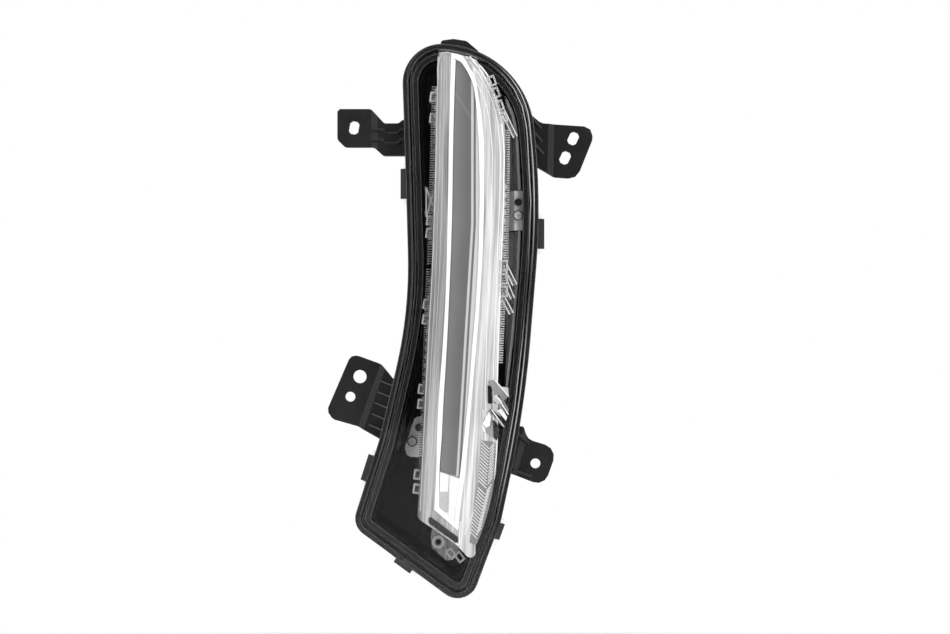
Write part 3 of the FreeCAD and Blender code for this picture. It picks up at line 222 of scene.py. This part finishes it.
# Clear cover
# The outer lens is a thin clear moulding. Light passes straight through it, and its front gives
# faint reflections.
cover = Finish("clear_cover")
cover_glass = cover.add("ShaderNodeBsdfTransparent", Color=(0.97, 0.97, 0.97, 1.0))
cover_gloss = cover.add("ShaderNodeBsdfGlossy", Roughness=0.08)
facing = cover.add("ShaderNodeFresnel", IOR=1.35)
behind = cover.add("ShaderNodeNewGeometry", "Backfacing")
cover.blend(facing * (1.0 - behind) * 0.8, cover_glass, cover_gloss)
finishes["clear_cover"] = cover


# Clear optic
# Thick clear plastic, pale over its white board with long streaks that follow its bend,
# and brighter right of the loop. Its lugs and prongs lie further back and are see-through.
bend_height = 0.09
lean = 0.06


def across_bend(finish):
    """How far right a point lies, with the module's lean below the bend taken out."""
    return finish.axis("X") - finish.axis("Z").apply("MINIMUM", bend_height) * lean


optic = Finish("clear_optic")
bent = across_bend(optic)
height = optic.axis("Z")
along = optic.add("ShaderNodeCombineXYZ", X=bent * 900.0, Z=height * 18.0)
streaks = optic.add("ShaderNodeTexNoise", Vector=along, Scale=1.0, Detail=4.0)
wide = optic.add("ShaderNodeCombineXYZ", X=bent * 160.0, Z=height * 9.0)
bands = optic.add("ShaderNodeTexNoise", Vector=wide, Scale=1.0, Detail=2.0)
right_side = bent.between(0.038, 0.049) * 0.65 + bent.between(0.052, 0.066) * 0.35 + 0.65
shade = ((streaks * 0.6 + bands * 0.6).between(0.42, 0.8) * 0.32 + 0.2) * right_side
# Painted shade darkens the optic's lowest left edge.
painted_foot_shade = (1.0 - bent.between(0.0415, 0.0445)) * (1.0 - height.between(-0.06, 0.02))
shade = shade * (1.0 - painted_foot_shade * 0.6)
set_back = optic.axis("Y").between(-0.028, -0.026)
optic.set(Base_Color=optic.grey(shade), Roughness=streaks * 0.15 + 0.05, Coat_Weight=0.6)
optic.relief(streaks, distance=0.0005, strength=0.4, edge=0.0005)
optic_glass = optic.add("ShaderNodeBsdfGlass", Roughness=0.03, IOR=1.49)
optic.blend(set_back * 0.55, Value(optic, optic.surface.outputs[0]), optic_glass)
finishes["clear_optic"] = optic


# Centre strip
# A moulding of grey tinted plastic inside the loop. Its right edge shows as two light lines, and
# a crease crosses it near the top.
crease_place = (0.0577, 0.1687)
crease_across = (0.846, 0.533)
strip = Finish("grey_plastic")
strip_bent = across_bend(strip)
slope_right = (strip.axis("X") - crease_place[0]) * crease_across[0]
slope = slope_right + (strip.axis("Z") - crease_place[1]) * crease_across[1]
crease = (1.0 - slope.apply("ABSOLUTE").between(0.0001, 0.0006)) * strip.axis("Z").between(0.150, 0.153)
first_line = strip_bent.between(0.0618, 0.0624) - strip_bent.between(0.0632, 0.0638)
second_line = strip_bent.between(0.0645, 0.0652)
strip_ground = 0.21 - strip_bent.between(0.047, 0.062) * 0.08
strip_level = strip_ground + crease * 0.06 + first_line * 0.4 + second_line * 0.45
strip.set(Base_Color=strip.grey(strip_level), Roughness=strip.noise(60.0) * 0.2 + 0.25)
strip.relief(first_line + second_line, distance=0.0004, strength=0.5, edge=0.0004)
finishes["grey_plastic"] = strip


# The optic's front surface
# The clear moulding's face is bowed, and runs back towards both ends. All that lies on it
# follows the bow. Places on it are given in millimetres, right and up in the front view.
per_metre = 1000.0
bow_radius = 0.924
bow_middle = 0.036
optic_front = -0.044


def on_face(x, z, lift=0.0):
    """Point of the optic's face at a place in the front view, in metres."""
    back = bow_radius - math.sqrt(bow_radius**2 - (z - bow_middle) ** 2)
    return (x, optic_front + back - lift, z)


def line(name, points, radius, finish):
    """Round line through points, smooth between them."""
    bpy.ops.curve.primitive_bezier_curve_add(location=(0.0, 0.0, 0.0))
    piece = bpy.context.object
    piece.name = name
    spline = piece.data.splines[0]
    spline.bezier_points.add(len(points) - 2)
    for knot, place in zip(spline.bezier_points, points):
        knot.co = place
        knot.handle_left_type = "AUTO"
        knot.handle_right_type = "AUTO"
    piece.data.bevel_depth = radius
    piece.data.bevel_resolution = 2
    piece.data.use_fill_caps = True
    piece.data.resolution_u = 10
    bpy.ops.object.convert(target="MESH")
    return finished(bpy.context.object, finish, smooth=True)


def finished(piece, finish, smooth=False):
    """Gives a new piece its finish and its body."""
    bpy.ops.object.select_all(action="DESELECT")
    piece.select_set(True)
    bpy.context.view_layer.objects.active = piece
    bpy.ops.object.transform_apply(location=True, rotation=True, scale=True)
    if smooth:
        bpy.ops.object.shade_smooth()
    piece.data.materials.clear()
    piece.data.materials.append(finishes[finish].material)
    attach(piece, "root")
    return piece


def bead(name, route, radius, lift, finish):
    """Round line along the optic's face, through places given in millimetres."""
    points = [on_face(x / per_metre, z / per_metre, lift) for x, z in route]
    return line(name, points, radius, finish)


# Loop, strip and end block
# A white loop lies raised on the optic's face. Inside it are the grey strip and, below that,
# the bright end block. Each is a thin moulding bonded on the face, with rounded edges.
plate_rounding = 0.0003


def face_plate(name, outlines, rise, finish):
    """Plate on the face, inside the first outline and outside the next.

    A corner with a third value is sharp, and the others are smooth.
    """
    bpy.ops.curve.primitive_bezier_curve_add(location=(0.0, 0.0, 0.0))
    piece = bpy.context.object
    piece.name = name
    piece.data.dimensions = "2D"
    piece.data.fill_mode = "BOTH"
    piece.data.resolution_u = 6
    piece.data.splines.clear()
    for outline in outlines:
        spline = piece.data.splines.new("BEZIER")
        spline.bezier_points.add(len(outline) - 1)
        spline.use_cyclic_u = True
        for knot, place in zip(spline.bezier_points, outline):
            knot.co = (place[0] / per_metre, place[1] / per_metre, 0.0)
            handle = "VECTOR" if len(place) > 2 else "AUTO"
            knot.handle_left_type = handle
            knot.handle_right_type = handle
    bpy.ops.object.convert(target="MESH")
    piece = bpy.context.object
    for point in piece.data.vertices:
        point.co = on_face(point.co.x, point.co.y, rise / 2.0)
    thickness = piece.modifiers.new("thickness", "SOLIDIFY")
    thickness.thickness = rise
    thickness.offset = 0.0
    rounding = piece.modifiers.new("rounding", "BEVEL")
    rounding.width = plate_rounding
    rounding.segments = 2
    for step in ("thickness", "rounding"):
        bpy.ops.object.modifier_apply(modifier=step)
    return finished(piece, finish)


loop_outside = [
    (55.7, 191.8, "sharp"), (62.0, 190.0), (66.4, 183.0), (69.1, 178.3), (71.8, 165.4), (74.4, 146.3),
    (75.0, 116.4), (74.8, 92.8), (72.6, 46.0), (70.3, 16.8), (67.7, -12.4), (64.1, -53.5), (60.9, -78.0),
    (60.0, -89.5, "sharp"), (45.8, -77.0, "sharp"), (47.0, -53.5), (47.4, -35.9), (48.5, -12.4),
    (50.7, 16.8), (52.4, 46.0), (53.7, 92.8), (54.4, 134.0), (55.0, 165.0),
]
strip_right = [
    (58.3, 187.9, "sharp"), (61.1, 186.5), (63.8, 183.0), (66.4, 178.3), (68.6, 172.5), (69.8, 165.4),
    (71.4, 146.3), (72.0, 134.2), (72.2, 92.8), (70.3, 46.0), (67.9, 16.8), (65.6, -12.4),
]
strip_left = [
    (50.1, -35.8), (51.3, -12.4), (53.1, 16.8), (54.5, 46.0), (56.2, 92.8), (56.8, 134.0), (57.5, 165.4),
]
block_low = [(58.6, -76.0), (57.8, -84.0, "sharp"), (48.7, -75.5, "sharp")]
loop_inside = strip_right + [(61.2, -53.5)] + block_low + [(48.9, -53.5)] + strip_left
strip_end = [(60.9, -57.9, "sharp"), (49.1, -53.8, "sharp")]
block_top = [(49.1, -54.6, "sharp"), (60.8, -58.7, "sharp")]
new_pieces = {
    "light_loop": ([loop_outside, loop_inside], 0.0025, "frosted_light"),
    "centre_strip": ([strip_right + strip_end + strip_left], 0.0012, "grey_plastic"),
    "end_block": ([block_top + block_low], 0.002, "white_plastic"),
}
for name, (outlines, rise, finish) in new_pieces.items():
    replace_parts(face_plate("rounded_" + name, outlines, rise, finish), name)


# Edge lines
# The clear optic's rounded edges, and the moulded steps beside the loop, are round beads coloured pale or
# white: painted highlights for the light they catch as long fine lines. Each step is so far inward from
# the edge, in millimetres, and has its radius.
left_edge = [
    (47.6, 190.0), (47.4, 170.0), (46.2, 120.0), (44.6, 68.0), (41.8, 14.0), (39.3, -36.0), (37.2, -78.0),
]
left_steps = [(0.3, 0.00035), (2.4, 0.00025), (4.4, 0.00025)]
right_edge = [
    (67.0, 190.0), (76.5, 176.0), (83.3, 161.0), (86.6, 140.0), (86.9, 118.0), (85.0, 60.0),
    (83.0, 0.0), (82.0, -50.0), (78.0, -72.0), (71.0, -92.0),
]
right_steps = [(0.3, 0.00045), (2.6, 0.0003), (7.2, 0.0003)]
# Grey beads of painted highlight, softer than the white ones.
finishes["painted_highlight_line"] = plain("painted_highlight_line", 0.5, 0.15, mottle=0.5)
for number, (inward, radius) in enumerate(left_steps):
    route = [(x + inward, z) for x, z in left_edge]
    bead(f"left_line_{number}", route, radius, lift=0.0001, finish="painted_highlight_line")
for number, (inward, radius) in enumerate(right_steps):
    route = [(x - inward, z) for x, z in right_edge]
    bead(f"right_line_{number}", route, radius, lift=0.0002, finish="frosted_light")
tip = [
    (47.9, 176.0), (48.2, 186.0), (49.6, 190.6), (52.2, 192.2), (57.0, 191.3), (62.0, 189.8),
    (67.5, 186.8), (72.0, 182.5),
]
bead("tip_line", tip, radius=0.0006, lift=0.0001, finish="painted_highlight_line")
foot = [(42.6, -84.0), (51.0, -91.0), (60.2, -98.6)]
bead("foot_line", foot, radius=0.0004, lift=0.0002, finish="frosted_light")
foot_side = [(60.4, -98.0), (60.6, -92.0), (61.2, -84.0)]
bead("foot_side_line", foot_side, radius=0.0005, lift=0.0002, finish="frosted_light")


# Fine teeth and flutes
# Saw teeth moulded with the optic run along both long sides, a little behind the face. Over the face's
# lower right lie slanted flutes, as fine ridges on a thin bed. The ridges are painted light and the bed
# is painted dark, as painted shade between them.
def ridge_row(name, start, end, pitch, radius, length, turn, stretch, lift, finish="clear_optic"):
    """Row of small ridges from start to end, places in millimetres, turned from upright."""
    run = math.dist(start, end) / per_metre
    count = int(run / pitch)
    bpy.ops.mesh.primitive_cylinder_add(
        vertices=6, radius=radius, depth=length, rotation=(0.0, math.radians(turn), 0.0),
    )
    row = bpy.context.object
    row.name = name
    row.scale = (1.0, stretch, 1.0)
    bpy.ops.object.transform_apply(location=False, rotation=True, scale=True)
    first = on_face(start[0] / per_metre, start[1] / per_metre, lift)
    last = on_face(end[0] / per_metre, end[1] / per_metre, lift)
    array = row.modifiers.new("row", "ARRAY")
    array.use_relative_offset = False
    array.use_constant_offset = True
    array.constant_offset_displace = [(b - a) / count for a, b in zip(first, last)]
    array.count = count
    bpy.ops.object.modifier_apply(modifier="row")
    row.location = first
    return finished(row, finish)


tooth_rows = {
    "left_teeth_high": ((46.0, 172.0), (43.3, 66.0)),
    "left_teeth_low": ((43.0, 64.0), (38.2, -56.0)),
    "right_teeth_high": ((88.6, 146.0), (87.6, 68.0)),
    "right_teeth_low": ((86.6, 66.0), (84.2, 8.0)),
}
tooth_pitch = 0.0014
tooth_radius = 0.00042
tooth_length = 0.0036
for name, (start, end) in tooth_rows.items():
    ridge_row(
        name, start, end, tooth_pitch, tooth_radius, tooth_length, turn=90.0, stretch=3.0, lift=-0.003,
    )
# Lit and shaded greys of one clear plastic: painted light on the ridges, painted shade on the bed.
finishes["flute_painted_light"] = plain("flute_painted_light", 0.7, 0.2, edge=0.0)
finishes["flute_painted_shade"] = plain("flute_painted_shade", 0.22, 0.25, edge=0.0)
flute_outline = [
    (81.8, -37.2, "sharp"), (81.5, -50.0), (80.6, -62.0), (78.8, -72.0), (76.2, -82.0), (72.6, -93.0),
    (70.6, -98.0, "sharp"), (66.6, -97.0, "sharp"), (68.2, -83.5), (69.9, -70.0), (72.1, -56.6),
    (73.3, -36.1, "sharp"),
]
face_plate("flute_bed", [flute_outline], rise=0.0008, finish="flute_painted_shade")
flute_rows = {
    "flutes_left_high": ((75.8, -39.0), (73.9, -64.0), 0.0066, -45.0),
    "flutes_left_low": ((73.5, -66.0), (68.4, -94.0), 0.006, -45.0),
    "flutes_right_high": ((79.9, -39.0), (78.4, -62.0), 0.005, 35.0),
    "flutes_right_low": ((77.9, -64.0), (71.4, -92.0), 0.005, 35.0),
}
flute_pitch = 0.0018
flute_radius = 0.00035
for name, (start, end, length, turn) in flute_rows.items():
    ridge_row(
        name, start, end, flute_pitch, flute_radius, length, turn, stretch=1.0, lift=0.001,
        finish="flute_painted_light",
    )


skin_thickness = 0.0003


def panel(name, x, z, wide, tall, turn, lift, finish):
    """Thin skin on the optic's face, its place and size in millimetres."""
    bpy.ops.mesh.primitive_plane_add(size=1.0)
    piece = bpy.context.object
    piece.name = name
    piece.scale = (wide / per_metre, tall / per_metre, 1.0)
    bpy.ops.object.transform_apply(location=False, rotation=False, scale=True)
    bpy.ops.object.mode_set(mode="EDIT")
    bpy.ops.mesh.subdivide(number_cuts=6)
    bpy.ops.object.mode_set(mode="OBJECT")
    piece.rotation_euler = (math.radians(90.0), math.radians(turn), 0.0)
    piece.location = (x / per_metre, 0.0, z / per_metre)
    bpy.ops.object.transform_apply(location=True, rotation=True, scale=True)
    for point in piece.data.vertices:
        point.co = on_face(point.co.x, point.co.z, lift)
    thickness = piece.modifiers.new("thickness", "SOLIDIFY")
    thickness.thickness = skin_thickness
    thickness.offset = 0.0
    bpy.ops.object.modifier_apply(modifier="thickness")
    return finished(piece, finish)


panel("flute_cover", x=71.8, z=-46.0, wide=9.6, tall=54.0, turn=6.0, lift=0.0002, finish="clear_optic")


# Clear clips
# Small clear frames moulded with the optic hold it at both sides and at its foot. Each is a
# block, pierced from front to back, with rounded edges.
clip_depth = 0.005
clip_wall = 0.0011
clip_rounding = 0.0003


def pierce(piece, wall, edge_radius):
    """Opens a block from front to back with a wall round the hole, and rounds its edges."""
    bpy.ops.object.transform_apply(location=True, rotation=True, scale=True)
    bpy.ops.object.mode_set(mode="EDIT")
    bpy.ops.mesh.select_mode(type="FACE")
    shape = bmesh.from_edit_mesh(piece.data)
    for face in shape.faces:
        face.select_set(abs(face.normal.y) > 0.9)
    bmesh.update_edit_mesh(piece.data)
    bpy.ops.mesh.inset(thickness=wall, use_individual=True)
    bpy.ops.mesh.bridge_edge_loops()
    bpy.ops.mesh.select_all(action="SELECT")
    bpy.ops.mesh.normals_make_consistent(inside=False)
    bpy.ops.object.mode_set(mode="OBJECT")
    rounding = piece.modifiers.new("rounding", "BEVEL")
    rounding.width = edge_radius
    rounding.segments = 2
    bpy.ops.object.modifier_apply(modifier="rounding")


def clip(name, x, z, wide, tall, turn, front):
    """Clear frame, a block pierced from front to back, its place and size in millimetres."""
    bpy.ops.mesh.primitive_cube_add(size=1.0, rotation=(0.0, math.radians(turn), 0.0))
    piece = bpy.context.object
    piece.name = name
    piece.scale = (wide / per_metre, clip_depth, tall / per_metre)
    piece.location = (x / per_metre, front + clip_depth / 2.0, z / per_metre)
    pierce(piece, clip_wall, clip_rounding)
    return finished(piece, "clear_moulding")


left_clips = [
    (45.3, 166.0), (45.2, 153.5), (43.2, 93.0), (42.9, 85.5), (41.3, 43.6), (40.8, 34.6),
    (38.4, -6.5), (38.0, -15.3), (35.8, -57.0), (35.4, -65.4),
]
for number, (x, z) in enumerate(left_clips):
    clip(f"left_clip_{number}", x, z, wide=4.6, tall=6.0, turn=8.0, front=-0.033)
high_clips = [(79.6, 175.0), (81.8, 168.0), (84.2, 160.5), (86.2, 153.5)]
for number, (x, z) in enumerate(high_clips):
    clip(f"high_clip_{number}", x, z, wide=4.6, tall=6.2, turn=-20.0, front=-0.038)
middle_clips = [(86.4, 66.0), (86.4, 58.5), (86.4, 51.0)]
for number, (x, z) in enumerate(middle_clips):
    clip(f"middle_clip_{number}", x, z, wide=5.2, tall=6.6, turn=0.0, front=-0.0445)
foot_clips = [(55.5, -105.5), (60.5, -107.5)]
for number, (x, z) in enumerate(foot_clips):
    clip(f"foot_clip_{number}", x, z, wide=4.6, tall=6.4, turn=-38.0, front=-0.016)


# Crossed bracket
# A clear bracket stands at the module's left side, in one moulding with the optic. Two bars cross in it.
# Their rounded edges, and one upright edge beside them, are pale beads of painted highlight.
bracket_front = -0.0235
bracket = {
    "fall": ((45.9, 112.6), (41.0, 96.0)),
    "rise": ((41.0, 112.6), (46.6, 96.4)),
    "upright": ((40.8, 113.0), (40.8, 95.6)),
}
for name, ends in bracket.items():
    points = [(x / per_metre, bracket_front, z / per_metre) for x, z in ends]
    line("bracket_" + name, points, radius=0.0005, finish="painted_highlight_line")


# Faceted corner
# Where the optic ends at the lower right, its clear corner is cut in facets like a stone. Each facet
# stands at its own height, in millimetres, and its grey, from white to near black, is painted reflection
# and painted shade.
painted_facet_levels = {"facet_bright": 0.95, "facet_light": 0.6, "facet_half": 0.28, "facet_shadow": 0.012}
for name, level in painted_facet_levels.items():
    finishes[name] = plain(name, level, 0.08, scale=300.0, depth=0.0002, edge=0.0002, mottle=1.2)
facets = [
    ("facet_shadow", 1.0, [(77.0, -3.9), (79.4, -4.3), (79.8, -14.6), (77.3, -14.6)]),
    ("facet_half", 1.4, [(77.3, -1.4), (81.2, -0.6), (83.7, -9.6), (80.8, -8.5), (79.1, -4.6)]),
    ("facet_half", 1.2, [(81.2, -0.4), (85.1, -4.6), (89.4, -10.3), (86.5, -12.8), (83.5, -9.6)]),
    ("facet_light", 1.6, [(85.1, -4.6), (89.2, -5.2), (89.4, -10.1)]),
    ("facet_light", 1.8, [(80.8, -9.6), (83.7, -10.7), (85.4, -13.9), (83.0, -14.9), (79.8, -12.1)]),
    ("facet_half", 1.0, [(83.7, -10.0), (86.5, -12.6), (89.4, -17.8), (89.2, -20.6), (85.1, -15.6)]),
    ("facet_bright", 1.6, [(82.6, -18.5), (85.1, -17.4), (88.6, -22.4), (87.9, -24.7)]),
    ("facet_light", 1.3, [(79.6, -14.2), (82.6, -14.9), (83.1, -19.2), (85.1, -22.7), (80.5, -18.5)]),
    ("facet_shadow", 1.5, [(78.0, -17.8), (80.5, -18.8), (88.8, -25.9), (88.3, -27.3), (81.5, -22.7)]),
    ("facet_half", 1.9, [(82.3, -22.4), (85.1, -24.9), (87.4, -28.4), (85.8, -28.0), (83.0, -24.9)]),
    ("facet_light", 1.0, [(73.7, -18.1), (78.0, -17.8), (75.9, -21.0), (74.1, -25.6)]),
    ("facet_bright", 1.4, [(74.1, -26.3), (78.0, -19.5), (79.2, -22.0), (78.4, -27.7), (76.2, -28.4)]),
    ("facet_shadow", 1.1, [
        (80.1, -24.1), (82.6, -25.9), (83.7, -29.1), (83.7, -33.4), (82.3, -36.4), (80.5, -34.4),
    ]),
    ("facet_half", 1.2, [
        (75.7, -29.1), (79.1, -27.7), (80.1, -24.1), (80.5, -34.4), (78.0, -33.0), (76.2, -31.6),
    ]),
    ("facet_bright", 1.5, [(74.1, -26.3), (76.0, -30.9), (74.9, -31.4), (73.9, -28.0)]),
]
for number, (finish, rise, outline) in enumerate(facets):
    outline = [place + ("sharp",) for place in outline]
    face_plate(f"corner_facet_{number}", [outline], rise / per_metre, finish)
# Fine white beads along some facet edges are painted glints.
painted_glints = [
    [(81.2, -0.6), (89.4, -10.3)],
    [(81.5, -10.1), (85.3, -13.5)],
    [(84.6, -13.5), (89.3, -21.0)],
    [(79.4, -18.1), (83.7, -24.1), (86.5, -28.0)],
]
for number, route in enumerate(painted_glints):
    bead(f"painted_corner_glint_{number}", route, radius=0.00035, lift=0.0016, finish="frosted_light")


# Prong edges
# The clear prongs at the right, moulded with the optic, have two rounded edges each, white beads of
# painted highlight. A bright edge, also a white bead of painted highlight, runs along the optic to the
# high clips.
prongs = [
    ((84.0, 163.0), (93.6, 143.0)), ((86.5, 69.0), (93.4, 55.0)), ((86.5, 60.0), (92.0, 47.0)),
    ((85.0, 50.0), (91.4, 38.0)),
]
prong_root = -0.0245
prong_tip = -0.0235
half_prong = 1.1
prong_slant = 0.4
for number, ((x, z), (end_x, end_z)) in enumerate(prongs):
    for edge, side in enumerate((-half_prong, half_prong)):
        rise = side * prong_slant
        points = [((x + side) / per_metre, prong_root, (z + rise) / per_metre),
                  ((end_x + side) / per_metre, prong_tip, (end_z + rise) / per_metre)]
        line(f"prong_{number}_edge_{edge}", points, radius=0.0004, finish="frosted_light")
high_edge = [(68.5, 188.0), (74.5, 182.5), (79.0, 174.5), (81.0, 168.0)]
bead("high_edge", high_edge, radius=0.0005, lift=-0.001, finish="frosted_light")


# Rings
# A dark washer ring lies round each of the carrier's two pan heads, and a clear eye moulded on the
# optic's foot tab takes the pin that steadies it. Each is a flat ring with rounded edges.
ring_rounding = 0.00025


def ring(name, place, outer, inner, deep, finish):
    """Ring that faces the front, its centre in metres and its sizes in millimetres."""
    bpy.ops.mesh.primitive_cylinder_add(
        vertices=32, radius=outer / per_metre, depth=deep / per_metre, location=place,
        rotation=(math.radians(90.0), 0.0, 0.0),
    )
    piece = bpy.context.object
    piece.name = name
    pierce(piece, (outer - inner) / per_metre, ring_rounding)
    return finished(piece, finish)


screw_places = {"high": (0.0954, -0.0175, 0.0968), "low": (0.0317, -0.0005, -0.0393)}
for name, place in screw_places.items():
    ring(name + "_screw_ring", place, outer=3.1, inner=2.4, deep=0.8, finish="dark_trim")
eye_place = (0.0477, -0.0075, -0.0994)
ring("foot_eye", eye_place, outer=4.0, inner=2.2, deep=1.8, finish="clear_moulding")


# Block window
# The bright end block is a white moulding. Its lower left part is a duller pane, with a fine
# grey line along its right side and a dark one at the block's left edge.
finishes["pane_grey"] = plain("pane_grey", 0.5, 0.3)
panel("block_pane", x=51.2, z=-72.5, wide=5.0, tall=12.0, turn=-2.0, lift=0.0022, finish="pane_grey")
block_lift = 0.0021
block_right = [(54.6, -57.0), (54.2, -68.0), (53.8, -79.0)]
bead("block_line", block_right, radius=0.00025, lift=block_lift, finish="pane_grey")
block_left = [(48.6, -56.0), (48.3, -63.0), (48.2, -70.0)]
bead("block_left_line", block_left, radius=0.0003, lift=block_lift, finish="dark_trim")


# Lip lines
# The lips of the housing's rim, moulded with it on both sides of the glue groove, are rounded and catch
# the light as fine lines, helped by a painted highlight in their greyer trim colour.
def lip_lines(name, node, radius, finish, wanted):
    """Round bead along those sharp edges of a CAD node that are wanted."""
    bpy.ops.object.select_all(action="DESELECT")
    node.select_set(True)
    bpy.context.view_layer.objects.active = node
    bpy.ops.object.duplicate()
    piece = bpy.context.object
    piece.name = name
    bpy.ops.object.mode_set(mode="EDIT")
    bpy.ops.mesh.select_mode(type="EDGE")
    bpy.ops.mesh.select_all(action="SELECT")
    bpy.ops.mesh.remove_doubles(threshold=0.00001)
    bpy.ops.mesh.select_all(action="DESELECT")
    bpy.ops.mesh.edges_select_sharp(sharpness=math.radians(35.0))
    shape = bmesh.from_edit_mesh(piece.data)
    for edge in shape.edges:
        edge.select_set(not (edge.select and all(wanted(end.co) for end in edge.verts)))
    bmesh.update_edit_mesh(piece.data)
    bpy.ops.mesh.delete(type="EDGE")
    bpy.ops.object.mode_set(mode="OBJECT")
    bpy.ops.object.convert(target="CURVE")
    piece = bpy.context.object
    piece.data.bevel_depth = radius
    piece.data.bevel_resolution = 1
    bpy.ops.object.convert(target="MESH")
    return finished(bpy.context.object, finish, smooth=True)


rim_front = -0.02
flat_within = 0.00005


def on_rim_front(place):
    return abs(place.y - rim_front) < flat_within


lip_lines("rim_lips", nodes["housing"], radius=0.0004, finish="dark_trim", wanted=on_rim_front)


# Cover edges
# The clear cover is one bowed moulding with its walls. Its front edges are polished round, and a painted
# highlight in their colour makes them brightest at the upper right and down the right side.
cover_front_end = -0.036
cover_edge = Finish("cover_edge")
# Painted highlights at the upper right and down the right side.
painted_highlight_top = cover_edge.axis("X").between(0.080, 0.095) * cover_edge.axis("Z").between(0.05, 0.12)
side = cover_edge.axis("X").between(0.080, 0.090) * (1.0 - cover_edge.axis("Z").between(0.0, 0.05))
painted_highlight_side = side * cover_edge.axis("Z").between(-0.09, -0.05)
edge_level = painted_highlight_top * 0.6 + painted_highlight_side * 0.5 + 0.06
cover_edge.set(Base_Color=cover_edge.grey(edge_level), Roughness=cover_edge.noise(60.0) * 0.2 + 0.1)
cover_edge.set(Transmission_Weight=0.6, IOR=1.2)
finishes["cover_edge"] = cover_edge


def on_cover_front(place):
    return place.y < cover_front_end


lip_lines("cover_edges", nodes["outer_lens"], radius=0.0003, finish="cover_edge", wanted=on_cover_front)


# Ear ribs
# Five ribs climb the root of the lower left ear, with rounded tops. They are one moulding with
# the ear, in the housing's black plastic.
rib_count = 5
rib_end = (22.6, -6.6)
rib_step = (1.75, 6.6)
rib_run = (10.0, 4.0)
rib_foot = -0.0027
rib_top = -0.0062
for number in range(rib_count):
    end_x = rib_end[0] - rib_step[0] * number
    end_z = rib_end[1] - rib_step[1] * number
    points = [((end_x - rib_run[0]) / per_metre, rib_foot, (end_z + rib_run[1]) / per_metre),
              (end_x / per_metre, rib_top, end_z / per_metre)]
    line(f"ear_rib_{number}", points, radius=0.0007, finish="black_plastic")


# Pieces from the frame
# The moulded, pressed and bought pieces that come with the frame keep their shape, and each
# takes the finish that its row in the record names.
for subpart in frame["record"]["subparts"]:
    node = nodes[subpart["node"]]
    node.data.materials.clear()
    node.data.materials.append(finishes[subpart["material_slot"]].material)


# Floor
# A plain pale sheet, matt like card. It lies just below the picture's lower edge and ends a
# little behind the part.
floor_middle = (0.07, -0.35, -0.17)
floor_width = 2.4
floor_depth = 0.9
bpy.ops.mesh.primitive_plane_add(size=1.0, location=floor_middle)
floor = bpy.context.object
floor.name = "floor"
floor.scale = (floor_width, floor_depth, 1.0)
bpy.ops.object.transform_apply(location=True, rotation=True, scale=True)
floor_finish = Finish("floor")
floor_grain = floor_finish.noise(8.0)
floor_finish.set(Base_Color=floor_finish.grey(floor_grain * 0.04 + 0.8), Roughness=0.8)
floor.data.materials.append(floor_finish.material)


# World
# White to the camera and through clear plastic. On the object it is a plain soft fill,
# light from the sides and above, and dim from in front where the camera stands.
world = Finish("world", bpy.data.worlds, "Background")
bpy.context.scene.world = world.material
ray_kinds = ("Is Camera Ray", "Is Transmission Ray", "Is Glossy Ray")
camera_ray, passing_ray, mirror_ray = [world.add("ShaderNodeLightPath", kind) for kind in ray_kinds]
toward = world.add("ShaderNodeTexCoord", "Generated")
sideways = world.axis("X", toward).apply("ABSOLUTE") * 0.9 + world.axis("Z", toward) * 0.5
fill = sideways.between(0.1, 0.9) * 0.85 + 0.1
backdrop = world.axis("Y", toward).between(-0.1, 0.4)
white = camera_ray.apply("MAXIMUM", passing_ray).apply("MAXIMUM", mirror_ray * backdrop)
world.set(Strength=fill.apply("MAXIMUM", white))
world.set(Color=(1.0, 1.0, 1.0, 1.0))


# Lamps
# Two large soft lamps in front, left and right, and one from above. All three face the part's
# middle.
part_middle = (0.07, 0.0, 0.03)


def lamp(name, place, size, power):
    data = bpy.data.lights.new(name, "AREA")
    data.shape = "RECTANGLE"
    data.size = size[0]
    data.size_y = size[1]
    data.energy = power
    light = bpy.data.objects.new(name, data)
    light.location = place
    bpy.context.collection.objects.link(light)
    aim = bpy.data.objects.new(name + "_aim", None)
    aim.location = part_middle
    bpy.context.collection.objects.link(aim)
    track = light.constraints.new("TRACK_TO")
    track.target = aim
    track.track_axis = "TRACK_NEGATIVE_Z"
    track.up_axis = "UP_Y"


lamp("left_lamp", (-0.8, -1.4, 0.5), size=(0.6, 1.4), power=12.0)
lamp("right_lamp", (0.95, -1.3, 0.4), size=(0.5, 1.4), power=10.0)
lamp("top_lamp", (0.1, -0.3, 1.4), size=(1.2, 0.6), power=8.0)
